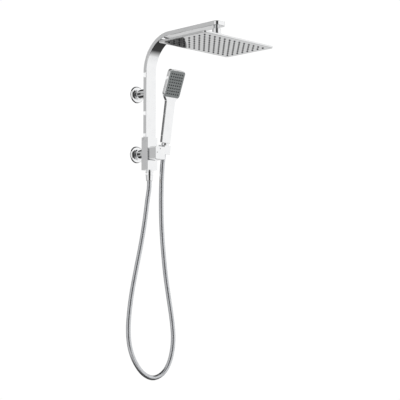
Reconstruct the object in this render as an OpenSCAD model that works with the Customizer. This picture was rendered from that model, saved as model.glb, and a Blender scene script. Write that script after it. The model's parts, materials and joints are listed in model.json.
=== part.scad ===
// Rainfall shower column: riser with arm, rain head on a ball swivel, diverter block, hand shower and hose.
// Frame: origin on the water inlet's axis at the wall face, +Z up, the wall at y = 0, the column in front at -y.

/* [Riser] */
// Width of the flat riser tube
rail_w = 43; // [36:1:52]
// Thickness of the flat riser tube
rail_t = 13; // [11:0.5:15]
// Wall of the riser tube
rail_wall = 1.5; // [1:0.1:2]
// Radius of the tube's long edges
rail_edge_r = 1.5; // [1:0.5:5]
// Distance of the riser's middle from the wall
rail_out = 62; // [55:1:72]
// Radius of the swept bend at the tube's middle
bend_r = 107.5; // [80:0.5:130]
// Height of the arm's middle above the inlet
arm_z = 365.5; // [330:0.5:440]
// Distance of the rain head's swivel from the wall
head_out = 357; // [320:1:410]
// Length of arm past the swivel, up to its round corners
arm_past = 8; // [0:1:20]
// Radius of the two corners at the arm's end
tip_r = 14; // [8:1:17]

/* [Diverter block] */
// Depth of the block, front to back
block_d = 29; // [28:0.5:36]
// Height of the block above the inlet axis
block_up = 50; // [48:1:66]
// Depth of the block below the inlet axis
block_down = 54; // [45:1:66]
// Radius of the block's upright edges
block_edge_r = 1.5; // [0.5:0.5:3]
// Depth of the slot that takes the riser's foot
slot_depth = 16; // [13:1:19]
// Drop of the knob's axis below the inlet axis
knob_drop = 2; // [0:0.5:4]

/* [Knob] */
// Width and height of the square knob
knob_w = 41; // [34:1:45]
// Depth of the knob
knob_d = 35.5; // [28:0.5:42]
// Radius of the knob's long edges
knob_edge_r = 4.5; // [2:0.5:8]
// Gap between the knob and the block
knob_gap = 0.8; // [0.5:0.1:2]

/* [Diverter cartridge] */
// Bore for the cartridge
cart_bore = 26; // [22:0.5:26]
// Diameter of the spindle where it turns
spindle_d = 10; // [8:0.5:12]
// Diameter of the spindle's driving end
drive_d = 8; // [6:0.5:9]
// Radial clearance of the spindle in its bearing
run_gap = 0.05; // [0.02:0.01:0.09]

/* [Wall connections] */
// Height of the upper wall bracket above the inlet
bracket_z = 194.5; // [150:0.5:230]
// Outer diameter of the chrome sleeves
sleeve_d = 29; // [27:0.5:36]
// Diameter of the round wall covers
cover_d = 54; // [50:1:70]
// Thread diameter of the inlet, half-inch pipe
inlet_d = 20.955; // [20.955:0.001:20.956]
// Length of the inlet thread behind the wall face
inlet_len = 18; // [10:1:25]
// Diameter of the hanger bolt
bolt_d = 8; // [6:1:10]
// Length of the hanger bolt behind the wall face
bolt_len = 25; // [20:1:60]

/* [Rain head] */
// Width of the rain head
head_w = 300; // [250:1:360]
// Depth of the rain head
head_d = 195; // [170:1:240]
// Thickness of the rain head
head_t = 5.5; // [5:0.1:9]
// Radius of the rain head's corners
head_corner_r = 10; // [5:1:20]
// Drop from the arm's underside to the head's top
head_drop = 52; // [50:0.5:60]
// Thickness of the head's sheet
sheet_t = 1.2; // [0.8:0.1:1.5]
// Distance between nozzles
nozzle_pitch = 21; // [16:0.5:21]
// Number of nozzles across the head
nozzle_nx = 13; // [8:1:13]
// Number of nozzles front to back
nozzle_ny = 8; // [4:1:8]
// Diameter of a nozzle's root
nozzle_d = 6; // [4:0.5:7]
// Drop of a nozzle's tip below the face
nozzle_drop = 1.8; // [1:0.1:3]

/* [Swivel] */
// Radius of the swivel ball
ball_r = 9; // [8:0.1:10]
// Diameter of the swivel connector
connector_d = 26; // [25:0.5:30]
// Gap between the spherical faces
ball_gap = 0.3; // [0.2:0.05:0.4]
// Thickness of the ball seats
seat_t = 1.7; // [1.2:0.1:2]

/* [Hand shower] */
// Tilt of the hand shower's handle away from the wall, degrees
handle_tilt = 9.5; // [6:0.5:14]
// Extra tilt of the spray head, degrees
face_tilt = 11.5; // [5:0.5:18]
// Width of the handle
handle_w = 36.5; // [30:0.5:42]
// Thickness of the handle and head
handle_t = 11.5; // [10:0.5:14]
// Length of the handle, up to the spray face
handle_len = 147; // [120:1:180]
// Width of the spray head
spray_w = 69; // [60:1:80]
// Height of the spray head
spray_h = 90; // [78:1:110]
// Width of the rim round the spray face
spray_rim = 2; // [2:0.5:6]
// Distance between the hand shower's nozzles
spray_pitch = 9.2; // [8:0.1:9.6]

/* [Cradle] */
// Distance of the hand shower's axis to the right of the riser's middle
cradle_x = 45; // [45:1:54]
// Distance of the hose nut's lower end from the wall
cradle_out = 81; // [79:1:90]
// Height of the hose nut's lower end above the inlet
cradle_z = 4; // [2:1:14]
// Width of the square cradle
cradle_w = 29; // [28.5:0.1:34]
// Radius of the cradle's upright edges
cradle_edge_r = 2.5; // [1:0.1:5]
// Height of the cradle
cradle_h = 28; // [20:1:29]
// Width of the slot that lets the hose in
cradle_slot = 17; // [16:0.5:19]

/* [Hose] */
// Outer diameter of the hose
hose_d = 15; // [13:0.5:16]
// Diameter of a hose nut at its wide end
nut_d = 25; // [24.5:0.1:25.5]
// Diameter of a hose nut at its narrow end
nut_tip_d = 20.4; // [19.5:0.1:21]
// Length of a hose nut
nut_len = 30; // [27:0.5:33]

/* [Hidden] */
$fn = 64;

chrome = "gainsboro";
brass = "goldenrod";
rubber = "dimgray";
plastic = "white";

fit = 0.1;              // clearance of pieces that are fixed into each other
big = 500;              // size of the blocks that halve a shape

// riser and arm
rail_back = rail_out - rail_t / 2;
bend_f = rail_out + bend_r;
bend_z = arm_z - bend_r;
arm_end = head_out + arm_past;
arm_under = arm_z - rail_t / 2;
block_bore_r = 4.5;
foot_r = rail_t / 2;
foot_z = block_up - slot_depth + foot_r;
foot_tongue = 12;
spigot_r = 4;
spigot_bore_r = 2.8;
spigot_up = 6;
spigot_down = 12;
seal_t = 2;
seal_deep = 0.7;
seal_at = [3, 7];
hollow_r = max(rail_edge_r - rail_wall, 0.5);
boss_r = 9;
boss_len = 6;

// diverter block and cartridge, along the knob's axis
block_w = rail_w;
block_front = rail_out + block_d / 2;
block_back = rail_out - block_d / 2;
knob_z = -knob_drop;
cart_back = block_back + 7;
cart_r = cart_bore / 2;
nut_t = 6;
cart_wall = 2.2;
cart_len = block_front - nut_t - cart_back;
cup_r = cart_r - fit - cart_wall;
disc_t = 3;
disc_gap = 0.3;
disc_f = cart_back + 1.5;
port_r = 3;
port_at = 6;
spindle_foot_r = 8;
spindle_f = disc_f + 2 * disc_t + fit;
spindle_foot_t = 3;
knob_back = block_front + knob_gap;
drive_len = 18;
key_at = 14;
knob_cave_r = 15;
knob_cave_d = 4;
inlet_bore_r = 9;

// wall connections
sleeve_wall = 1.6;
core_r = sleeve_d / 2 - sleeve_wall - fit;
cover_wall = 1.2;
cover_rise = (cover_d - sleeve_d) / 2 - 0.15;
cover_inner = sleeve_d / 2 + 0.15;
washer_t = 2;
inlet_water_r = 6.5;
valve_len = 14;
grub_d = 4;
grub_len = 6;
grub_f = 20;
relief = 0.5;
shank_r = bolt_d / 2 - relief;

// rain head
head_top = arm_under - head_drop;
head_bottom = head_top - head_t;
plate_t = 1.2;
mat_t = 1;
cavity_t = head_t - sheet_t - plate_t - mat_t;
rivet_r = 2.4;
rivet_x = 2.5 * nozzle_pitch;
rivet_y = 2 * nozzle_pitch;

// swivel, measured from the ball's middle
ball_z = head_top + 14;
neck_r = 5.5;
cavity_r = ball_r + seat_t + 2 * ball_gap;
connector_low = ball_z + ball_r + 4;
nipple_drop = 7;
connector_top = arm_under - nipple_drop;
nipple_in = 12;
nipple_bore_r = 4;
socket_r = cavity_r + 2.7;
nut_wall = 2;
water_r = 4;

// hand shower, along its own axis from the hose nut's lower end
neck_len = 2;
handle_at = nut_len + neck_len;
bend_at = handle_at + handle_len;
shell_wall = 1.8;
head_overlap = 3.5;
spray_corner_r = 9;
shoulder = 14;
face_t = 2;
spray_nx = 6;
spray_ny = 8;
spray_nozzle_r = 2.1;
tube_gap = 0.35;
tube_r = handle_t / 2 - shell_wall - tube_gap;
plug_r = tube_r + 1.2;
spigot_len = 14;

// hose
thread_r = inlet_d / 2;
outlet_neck = 4;
lower_nut_top = -block_down - outlet_neck;
lower_nut_end = lower_nut_top - nut_len;
hose_bore_r = 4.5;
ferrule_len = 12;
hose_sides = 10;
hose_steps = 2;

// hose route, from the lower nut down round the loop and up to the hand shower's nut
route = [
    [0, -62, -88], [-1, -62, -112], [-6, -60, -150], [-15, -57, -220], [-27, -53, -292],
    [-42, -48, -368], [-55, -44, -437], [-63, -41, -500], [-66, -40, -557], [-61, -42, -608],
    [-45, -47, -653], [-19, -56, -690], [13, -66, -706], [44, -76, -695], [65, -84, -665],
    [77, -88, -622], [80, -89, -575], [75, -87, -520], [65, -84, -457], [56, -80, -392],
    [49, -78, -330], [43, -76, -258], [40, -75, -185], [41, -74, -110], [44, -75, -40], [45, -81, 4]
];

// ---------- shared shapes ----------

// rectangle with round corners
module rounded(w, h, r) {
    square([w - 2 * r, h], center = true);
    square([w, h - 2 * r], center = true);
    for (sx = [-1, 1], sy = [-1, 1])
        translate([sx * (w / 2 - r), sy * (h / 2 - r)]) circle(r);
}

// places what follows on an axis that runs out from the wall
module outwards(x, f, z) {
    translate([x, -f, z]) rotate([90, 0, 0]) children();
}

module rod(r, h) {
    cylinder(r = r, h = h);
}

module pipe(r_out, r_in, h) {
    difference() {
        cylinder(r = r_out, h = h);
        translate([0, 0, -1]) cylinder(r = r_in, h = h + 2);
    }
}

module bar_x(r, w) {
    rotate([0, 90, 0]) cylinder(r = r, h = w, center = true);
}

// spherical zone between two polar angles, measured down from the top
module zone(r_out, r_in, from, to) {
    reach = 3 * r_out;
    rotate_extrude() intersection() {
        difference() {
            circle(r_out);
            circle(r_in);
        }
        polygon([[0, 0], [reach * sin(from), reach * cos(from)], [reach, 0], [reach * sin(to), reach * cos(to)]]);
    }
}

// ---------- riser and arm ----------

// flat tube's solid, or its hollow when shrunk by the wall
module riser_form(shrink, low) {
    w = rail_w - 2 * shrink;
    t = rail_t - 2 * shrink;
    r = max(rail_edge_r - shrink, 0.5);
    translate([0, -rail_out, low]) linear_extrude(bend_z - low) rounded(w, t, r);
    translate([0, -bend_f, bend_z]) rotate([90, 0, 90])
        rotate_extrude(angle = 90) translate([bend_r, 0]) rounded(t, w, r);
    outwards(0, bend_f, arm_z) linear_extrude(arm_end - bend_f) rounded(w, t, r);
    corner = tip_r - shrink;
    for (s = [-1, 1]) translate([s * (rail_w / 2 - tip_r), -arm_end, arm_z])
        rotate([0, 0, s > 0 ? 270 : 180]) rotate_extrude(angle = 90) half_section(corner, t, r);
    translate([rail_w / 2 - tip_r, -arm_end, arm_z])
        rotate([90, 0, 270]) linear_extrude(rail_w - 2 * tip_r) half_section(corner, t, r);
}

// right half of the tube's section, as wide as a corner
module half_section(corner, t, r) {
    intersection() {
        rounded(2 * corner, t, r);
        translate([0, -t]) square([2 * corner, 2 * t]);
    }
}

module riser_tube() {
    color(chrome) difference() {
        riser_form(0, foot_z);
        riser_form(rail_wall, foot_z - 1);
        translate([0, -head_out, arm_under - 1]) rod(thread_r, rail_wall + 2);
        outwards(0, rail_back - 1, bracket_z) rod(boss_r, rail_wall + 2);
    }
}

// round foot, brazed in the tube's lower end
module riser_foot() {
    color(chrome) difference() {
        union() {
            intersection() {
                translate([0, -rail_out, foot_z]) bar_x(foot_r, rail_w);
                translate([0, -rail_out, foot_z - big / 2]) cube([big, big, big], center = true);
            }
            translate([0, -rail_out, foot_z]) linear_extrude(foot_tongue)
                rounded(rail_w - 2 * rail_wall - 2 * fit, rail_t - 2 * rail_wall - 2 * fit, hollow_r);
        }
        translate([0, -rail_out, foot_z - foot_r - 1]) rod(spigot_r + fit, foot_r + 1 + spigot_up);
        translate([0, -rail_out, foot_z]) rod(spigot_bore_r, foot_tongue + 1);
    }
}

// short tube that carries water from the block into the riser
module riser_spigot() {
    low = foot_z - foot_r - spigot_down;
    color(brass) difference() {
        translate([0, -rail_out, low]) rod(spigot_r, spigot_down + foot_r + spigot_up - fit);
        translate([0, -rail_out, low - 1]) rod(spigot_bore_r, spigot_down + spigot_up + 2);
        for (z = seal_at)
            translate([0, -rail_out, low + z]) pipe(spigot_r + 1, spigot_r - seal_deep, seal_t);
    }
}

module spigot_seals() {
    low = foot_z - foot_r - spigot_down;
    color(rubber) for (z = seal_at)
        translate([0, -rail_out, low + z + fit]) pipe(spigot_r + fit, spigot_r - seal_deep + fit, seal_t - 2 * fit);
}

// blind boss, brazed in the riser's back for the upper bracket
module riser_boss() {
    color(brass) difference() {
        outwards(0, rail_back, bracket_z) rod(boss_r - fit, boss_len);
        outwards(0, rail_back - 1, bracket_z) rod(shank_r + fit, boss_len - 1);
    }
}

// ---------- swivel under the arm ----------

// threaded nipple, brazed in the arm's underside
module arm_nipple() {
    top = arm_under + rail_wall + 1;
    color(brass) difference() {
        translate([0, -head_out, connector_top - nipple_in])
            rod(thread_r - fit, top - connector_top + nipple_in);
        translate([0, -head_out, connector_top - nipple_in - 1]) rod(water_r + 2, top - connector_top + nipple_in + 2);
    }
}

// female connector with the ball below it
module swivel_ball() {
    color(chrome) difference() {
        union() {
            translate([0, -head_out, connector_low]) rod(connector_d / 2, connector_top - connector_low);
            translate([0, -head_out, ball_z]) rod(neck_r, connector_low - ball_z + 1);
            translate([0, -head_out, ball_z]) sphere(ball_r);
        }
        translate([0, -head_out, connector_top - nipple_in - seal_t]) rod(thread_r, nipple_in + seal_t + 1);
        translate([0, -head_out, ball_z - ball_r - 1]) rod(nipple_bore_r, big / 4);
    }
}

module swivel_seal() {
    color(rubber) translate([0, -head_out, connector_top - nipple_in - seal_t])
        pipe(thread_r - fit, water_r + 1, seal_t - fit);
}

module lower_ball_seat() {
    color(plastic) translate([0, -head_out, ball_z]) zone(ball_r + ball_gap + seat_t, ball_r + ball_gap, 102, 140);
}

module upper_ball_seat() {
    color(plastic) translate([0, -head_out, ball_z]) zone(ball_r + ball_gap + seat_t, ball_r + ball_gap, 56, 78);
}

// ---------- rain head ----------

// cup on the head's top that carries the ball
module head_socket() {
    color(chrome) difference() {
        translate([0, -head_out, head_top]) rod(socket_r, ball_z - head_top);
        translate([0, -head_out, ball_z]) sphere(cavity_r);
        translate([0, -head_out, head_top - 1]) rod(water_r, ball_z - head_top);
    }
}

// ring nut that closes the cup over the ball
module ball_nut() {
    low = head_top + 3;
    rise = 8.5;
    opening = 50;
    color(chrome) difference() {
        translate([0, -head_out, low]) rod(socket_r + nut_wall, ball_z + rise - low);
        translate([0, -head_out, low - 1]) rod(socket_r + fit, ball_z - low + 1);
        translate([0, -head_out, ball_z]) sphere(cavity_r);
        translate([0, -head_out, ball_z]) cylinder(r1 = 0, r2 = 20 * tan(opening), h = 20);
    }
}

// folded top sheet
module head_shell() {
    color(chrome) difference() {
        translate([0, -head_out, head_bottom]) linear_extrude(head_t) rounded(head_w, head_d, head_corner_r);
        translate([0, -head_out, head_bottom - 1]) linear_extrude(head_t - sheet_t + 1)
            rounded(head_w - 2 * sheet_t, head_d - 2 * sheet_t, head_corner_r - sheet_t);
        translate([0, -head_out, head_bottom]) rod(water_r, head_t + 1);
    }
}

module at_nozzles() {
    for (i = [0 : nozzle_nx - 1], j = [0 : nozzle_ny - 1])
        translate([(i - (nozzle_nx - 1) / 2) * nozzle_pitch,
            -head_out + (j - (nozzle_ny - 1) / 2) * nozzle_pitch, head_bottom])
            children();
}

module at_rivets() {
    for (sx = [-1, 1], sy = [-1, 0, 1])
        translate([sx * rivet_x, -head_out + sy * rivet_y, head_bottom]) children();
}

// perforated lower sheet
module spray_plate() {
    color(chrome) difference() {
        translate([0, -head_out, head_bottom]) linear_extrude(plate_t)
            rounded(head_w - 2 * sheet_t - fit, head_d - 2 * sheet_t - fit, head_corner_r - sheet_t);
        at_nozzles() translate([0, 0, -1]) rod(nozzle_d / 2, plate_t + 2);
    }
}

// silicone mat with a nozzle through every hole
module nozzle_mat() {
    root_r = nozzle_d / 2 - fit / 2;
    color(rubber) difference() {
        union() {
            translate([0, -head_out, head_bottom + plate_t]) linear_extrude(mat_t)
                rounded(head_w - 4 * sheet_t, head_d - 4 * sheet_t, head_corner_r - 2 * sheet_t);
            at_nozzles() rod(root_r, plate_t + mat_t / 2);
            at_nozzles() translate([0, 0, -nozzle_drop]) cylinder(r1 = root_r * 0.6, r2 = root_r, h = nozzle_drop);
        }
        at_rivets() translate([0, 0, plate_t - 1]) rod(rivet_r + fit, mat_t + 2);
    }
}

// spacers that hold the two sheets apart
module head_rivets() {
    color(chrome) at_rivets() translate([0, 0, plate_t]) rod(rivet_r, mat_t + cavity_t);
}

module head_filter() {
    color(rubber) translate([0, -head_out, head_top - sheet_t + fit]) pipe(water_r - fit, water_r - 2, sheet_t - fit);
}

// ---------- diverter block ----------

module diverter_block() {
    color(chrome) difference() {
        translate([0, -rail_out, -block_down]) linear_extrude(block_up + block_down)
            rounded(block_w, block_d, block_edge_r);
        // slot for the riser's foot
        translate([0, -rail_out, foot_z]) bar_x(foot_r + fit, block_w + 2);
        translate([-block_w / 2 - 1, -rail_out - foot_r - fit, foot_z])
            cube([block_w + 2, rail_t + 2 * fit, block_up - foot_z + 1]);
        // water ways up and down
        translate([0, -rail_out, foot_z - foot_r - spigot_down - fit]) rod(spigot_r + fit, spigot_down + foot_r);
        translate([0, -rail_out, knob_z]) rod(block_bore_r, foot_z - foot_r - knob_z - 1);
        translate([0, -rail_out, -block_down - 1]) rod(block_bore_r, block_down + 1 + knob_z);
        translate([0, -rail_out, -block_down - 1]) rod(thread_r - 1, 9);
        // cartridge, inlet and cradle stud
        outwards(0, cart_back, knob_z) rod(cart_r, big / 4);
        outwards(0, block_back - 1, 0) rod(inlet_bore_r + fit, 9);
        translate([block_w / 2 - 6, -stud_f, stud_z]) rotate([0, 90, 0]) rod(stud_r, 7);
    }
}

module cartridge_housing() {
    color(plastic) difference() {
        outwards(0, cart_back, knob_z) rod(cart_r - fit, cart_len);
        outwards(0, disc_f, knob_z) rod(cup_r, cart_len - (disc_f - cart_back) - 2.5);
        outwards(0, cart_back - 1, knob_z) rod(spindle_d / 2 + run_gap, cart_len + 2);
        translate([0, -cart_back - 4.5, knob_z]) cylinder(r = 2.5, h = 2 * cart_r, center = true);
    }
}

// ceramic disc with one way up and one way down
module fixed_disc() {
    color(plastic) difference() {
        outwards(0, disc_f, knob_z) rod(cup_r - fit, disc_t);
        for (s = [-1, 1]) outwards(0, disc_f - 1, knob_z + s * port_at) rod(port_r, disc_t + 2);
    }
}

// ceramic disc that turns with the knob and uncovers one way at a time
module moving_disc() {
    color(plastic) difference() {
        outwards(0, disc_f + disc_t + fit, knob_z) rod(cup_r - disc_gap, disc_t - fit);
        outwards(0, disc_f + disc_t, knob_z + port_at) rod(port_r, disc_t + 1);
    }
}

module spindle() {
    shaft_end = knob_back + knob_cave_d + drive_len;
    shoulder_f = block_front + 0.5;
    color(brass) union() {
        outwards(0, spindle_f, knob_z) rod(spindle_foot_r, spindle_foot_t);
        outwards(0, spindle_f, knob_z) rod(spindle_d / 2, shoulder_f - spindle_f);
        outwards(0, spindle_f, knob_z) rod(drive_d / 2, shaft_end - spindle_f);
    }
}

module spindle_seal() {
    color(rubber) outwards(0, cart_back + cart_len + 0.2, knob_z) pipe(spindle_d / 2 + 2.2, spindle_d / 2 + run_gap, 2);
}

// ring nut that holds the cartridge in the block
module cartridge_nut() {
    color(brass) difference() {
        outwards(0, cart_back + cart_len, knob_z) rod(cart_r - fit, nut_t);
        outwards(0, cart_back + cart_len - 1, knob_z) rod(spindle_d / 2 + 2.5, nut_t + 2);
        for (a = [0, 90])
            outwards(0, block_front - 1.5, knob_z) rotate([0, 0, a]) translate([-cart_r, -1.5, 0]) cube([cart_bore, 3, 4]);
    }
}

module knob() {
    color(chrome) difference() {
        outwards(0, knob_back, knob_z) linear_extrude(knob_d) rounded(knob_w, knob_w, knob_edge_r);
        outwards(0, knob_back - 1, knob_z) rod(knob_cave_r, knob_cave_d + 1);
        outwards(0, knob_back, knob_z) rod(drive_d / 2 + fit, knob_cave_d + drive_len + 0.5);
        translate([0, -knob_back - knob_cave_d - key_at, knob_z - knob_w / 2 - 1]) rod(grub_d / 2, knob_w / 2 - drive_d / 2 + 2);
    }
}

module knob_screw() {
    color(brass) translate([0, -knob_back - knob_cave_d - key_at, knob_z - drive_d / 2 - fit - grub_len])
        rod(grub_d / 2 - fit / 2, grub_len);
}

// threaded outlet under the block for the hose
module outlet_nipple() {
    reach = 9;
    color(chrome) difference() {
        union() {
            translate([0, -rail_out, lower_nut_top]) rod(thread_r - 0.5, outlet_neck);
            translate([0, -rail_out, lower_nut_top - reach]) rod(thread_r - fit, reach);
            translate([0, -rail_out, -block_down]) rod(thread_r - 1 - fit, 7.5);
        }
        translate([0, -rail_out, lower_nut_top - reach - 1]) rod(block_bore_r, big / 4);
    }
}

// ---------- wall connections ----------

// threaded tube from the wall to the block
module inlet_tube() {
    color(brass) difference() {
        union() {
            translate([0, inlet_len, 0]) rotate([90, 0, 0]) rod(inlet_d / 2, inlet_len);
            outwards(0, 0, 0) rod(inlet_d / 2 - relief, washer_t);
            outwards(0, washer_t, 0) rod(core_r, block_back - washer_t);
            outwards(0, block_back, 0) rod(inlet_bore_r, 5);
        }
        translate([0, inlet_len + 1, 0]) rotate([90, 0, 0]) rod(inlet_water_r, big / 4);
    }
}

module inlet_seal() {
    color(rubber) outwards(0, block_back + 5 + fit, 0) pipe(inlet_bore_r - fit, inlet_water_r, 1.7);
}

// chrome sleeve round a wall connection, with a hole for its grub screw
module sleeve(z, reach) {
    difference() {
        outwards(0, cover_wall, z) pipe(sleeve_d / 2, core_r + fit, reach - cover_wall);
        translate([0, -grub_f, z - sleeve_d / 2 - 1]) rod(grub_d / 2, sleeve_wall + 2);
    }
}

module inlet_sleeve() {
    color(chrome) sleeve(0, block_back);
}

// round domed wall cover
module wall_cover(z) {
    outwards(0, 0, z) rotate_extrude() translate([cover_inner, 0]) intersection() {
        difference() {
            circle(cover_rise);
            circle(cover_rise - cover_wall);
        }
        square([2 * cover_rise, 2 * cover_rise]);
    }
}

module inlet_cover() {
    color(chrome) wall_cover(0);
}

module inlet_washer() {
    color(rubber) outwards(0, 2 * fit, 0) pipe(core_r, inlet_d / 2 + fit, washer_t - 3 * fit);
}

module inlet_filter() {
    color(rubber) translate([0, inlet_len, 0]) rotate([90, 0, 0]) pipe(inlet_water_r - fit, inlet_water_r - 2.5, 2);
}

// cartridge in the inlet that stops water from running back
module check_valve() {
    color(plastic) outwards(0, 12, 0) {
        difference() {
            rod(inlet_water_r - fit, valve_len);
            translate([0, 0, -1]) rod(inlet_water_r - 2, valve_len - 3);
            for (a = [0 : 60 : 300]) rotate([0, 0, a]) translate([3, 0, valve_len - 5]) rod(1, 6);
        }
    }
}

// bar inside the upper sleeve, screwed on the hanger bolt
module bracket_core() {
    color(brass) difference() {
        outwards(0, washer_t, bracket_z) rod(core_r, rail_back - washer_t);
        outwards(0, 0, bracket_z) rod(shank_r + fit, rail_back + 1);
    }
}

module bracket_sleeve() {
    color(chrome) sleeve(bracket_z, rail_back);
}

module bracket_cover() {
    color(chrome) wall_cover(bracket_z);
}

// bolt that is screwed in the wall, with its machine thread in the core and the riser's boss
module hanger_bolt() {
    color(brass) {
        translate([0, bolt_len, bracket_z]) rotate([90, 0, 0]) rod(bolt_d / 2, bolt_len);
        outwards(0, 0, bracket_z) rod(shank_r, rail_back + boss_len - 2);
    }
}

module grub_screws() {
    color(brass) for (z = [0, bracket_z])
        translate([0, -grub_f, z - sleeve_d / 2]) rod(grub_d / 2, sleeve_wall);
}

// ---------- cradle ----------

stud_f = block_front - 8;
stud_z = cradle_z + 10;
stud_r = 4;
liner_t = 1.2;
liner_gap = 0.3;
cradle_low = -4;

// places what follows along the hand shower's axis
module held() {
    translate([cradle_x, -cradle_out, cradle_z]) rotate([handle_tilt, 0, 0]) children();
}

// cone that follows the hose nut, grown by a distance
module nut_cone(grow, low, high) {
    slope = (nut_d - nut_tip_d) / 2 / nut_len;
    translate([0, 0, low]) cylinder(h = high - low,
        r1 = nut_tip_d / 2 + slope * low + grow, r2 = nut_tip_d / 2 + slope * high + grow);
}

module cradle_gate() {
    translate([0, -cradle_slot / 2, cradle_low - 5]) cube([big / 10, cradle_slot, cradle_h + 10]);
}

module cradle() {
    color(chrome) difference() {
        union() {
            held() translate([0, 0, cradle_low]) linear_extrude(cradle_h)
                rounded(cradle_w, cradle_w, cradle_edge_r);
            translate([block_w / 2, -block_front + 1, stud_z - 9]) cube([cradle_x - block_w / 2 - 5, 15, 18]);
        }
        held() nut_cone(liner_gap + liner_t, cradle_low - 5, cradle_h + 8);
        held() cradle_gate();
        translate([block_w / 2 - 1, -stud_f, stud_z]) rotate([0, 90, 0]) rod(stud_r, 7);
    }
}

module cradle_liner() {
    color(plastic) held() difference() {
        nut_cone(liner_gap + liner_t, cradle_low, cradle_low + cradle_h);
        nut_cone(liner_gap, cradle_low - 1, cradle_low + cradle_h + 1);
        cradle_gate();
    }
}

module cradle_stud() {
    color(brass) translate([block_w / 2 - 6, -stud_f, stud_z]) rotate([0, 90, 0]) rod(stud_r - fit / 2, 11.5);
}

// ---------- hand shower ----------

// places what follows in the tilted spray head, from the foot of its face
module in_spray_head() {
    held() translate([0, -handle_t / 2, bend_at]) rotate([face_tilt, 0, 0]) translate([0, handle_t / 2, 0]) children();
}

// front outline of the handle with its shoulders
module handle_outline(shrink) {
    half = handle_w / 2 - shrink;
    wide = spray_w / 2 - spray_corner_r / 2 - shrink;
    top = handle_len;
    polygon([[-half, shrink], [half, shrink], [half, top - shoulder], [wide, top + 1], [-wide, top + 1],
        [-half, top - shoulder]]);
}

module head_outline(shrink) {
    translate([0, spray_h / 2 - head_overlap])
        rounded(spray_w - 2 * shrink, spray_h - 2 * shrink, spray_corner_r - shrink);
}

// slab of the hand shower between two depths, both measured from its middle
module handset_slab(shrink, from, to) {
    held() translate([0, to, handle_at]) rotate([90, 0, 0]) linear_extrude(to - from) handle_outline(shrink);
    in_spray_head() translate([0, to, 0]) rotate([90, 0, 0]) linear_extrude(to - from) head_outline(shrink);
}

module handset_back() {
    color(chrome) difference() {
        handset_slab(0, 0, handle_t / 2);
        handset_slab(shell_wall, -1, handle_t / 2 - shell_wall);
        handset_slab(0, -handle_t, -fit / 2);
        held() translate([0, 0, handle_at - 1]) rod(plug_r + fit, 12);
    }
}

module handset_front() {
    color(chrome) difference() {
        handset_slab(0, -handle_t / 2, -fit / 2);
        handset_slab(shell_wall, -handle_t / 2 + shell_wall, 1);
        held() translate([0, 0, handle_at - 1]) rod(plug_r + fit, 12);
        in_spray_head() translate([0, 0, 0]) rotate([90, 0, 0]) linear_extrude(handle_t) head_outline(spray_rim);
    }
}

module at_spray_nozzles() {
    for (i = [0 : spray_nx - 1], j = [0 : spray_ny - 1])
        translate([(i - (spray_nx - 1) / 2) * spray_pitch,
            spray_h / 2 - head_overlap + (j - (spray_ny - 1) / 2) * spray_pitch, 0])
            children();
}

// grey face, let into the spray head's front
module handset_face() {
    color("gray") in_spray_head() translate([0, -handle_t / 2 + face_t, 0]) rotate([90, 0, 0]) difference() {
        linear_extrude(face_t) head_outline(spray_rim + fit / 2);
        at_spray_nozzles() translate([0, 0, -1]) rod(spray_nozzle_r, face_t + 2);
    }
}

module handset_nozzles() {
    color(rubber) in_spray_head() translate([0, -handle_t / 2 + face_t + mat_t, 0]) rotate([90, 0, 0]) {
        linear_extrude(mat_t) head_outline(spray_rim + 2);
        at_spray_nozzles() rod(spray_nozzle_r - fit / 2, mat_t + face_t + 1);
    }
}

// water tube inside the handle
module handset_tube() {
    low = handle_at + spigot_len / 2 + fit;
    color(plastic) held() translate([0, 0, low]) pipe(tube_r, tube_r - 1.2, bend_at - low - 4);
}

// threaded end of the hand shower
module handset_spigot() {
    color(brass) held() difference() {
        union() {
            translate([0, 0, handle_at - neck_len - 9]) rod(thread_r - fit, 9);
            translate([0, 0, handle_at - neck_len]) rod(9, neck_len);
            translate([0, 0, handle_at]) rod(plug_r, spigot_len / 2);
        }
        rod(tube_r, big / 4);
    }
}

module flow_limiter() {
    color(plastic) held() translate([0, 0, handle_at - neck_len - 6]) difference() {
        rod(tube_r - fit, 4);
        for (a = [0 : 90 : 270]) rotate([0, 0, a]) translate([1.8, 0, -1]) rod(0.7, 6);
    }
}

// clips that hold the two shells together
module handset_clips() {
    color(plastic) held() for (z = [0.25, 0.5, 0.75], s = [-1, 1])
        translate([s * (handle_w / 2 - shell_wall - 2.2), 0, handle_at + z * (handle_len - shoulder)])
            cube([4, 6, 8], center = true);
}

// ---------- hose ----------

function mix(a, b, c, d, t) = 0.5 * (2 * b + (c - a) * t + (2 * a - 5 * b + 4 * c - d) * t * t
    + (3 * b - a - 3 * c + d) * t * t * t);
last = len(route) - 1;
function pick(i) = route[min(max(i, 0), last)];
path = [for (i = [0 : last - 1], s = [0 : hose_steps - 1])
    mix(pick(i - 1), pick(i), pick(i + 1), pick(i + 2), s / hose_steps), route[last]];
held_axis = [0, sin(handle_tilt), -cos(handle_tilt)];
function unit(v) = v / norm(v);
function tangent(i) = i == 0 ? [0, 0, -1] : i == len(path) - 1 ? -held_axis : unit(path[i + 1] - path[i - 1]);
// the hose lies close to one upright plane, so its normal serves every ring
hose_side = unit([15, 45, 0]);
function ring(i) = let (t = tangent(i), b = unit(cross(t, hose_side)), n = cross(b, t))
    [for (k = [0 : hose_sides - 1]) let (a = 360 * k / hose_sides)
        path[i] + hose_d / 2 * (cos(a) * n + sin(a) * b)];

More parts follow.
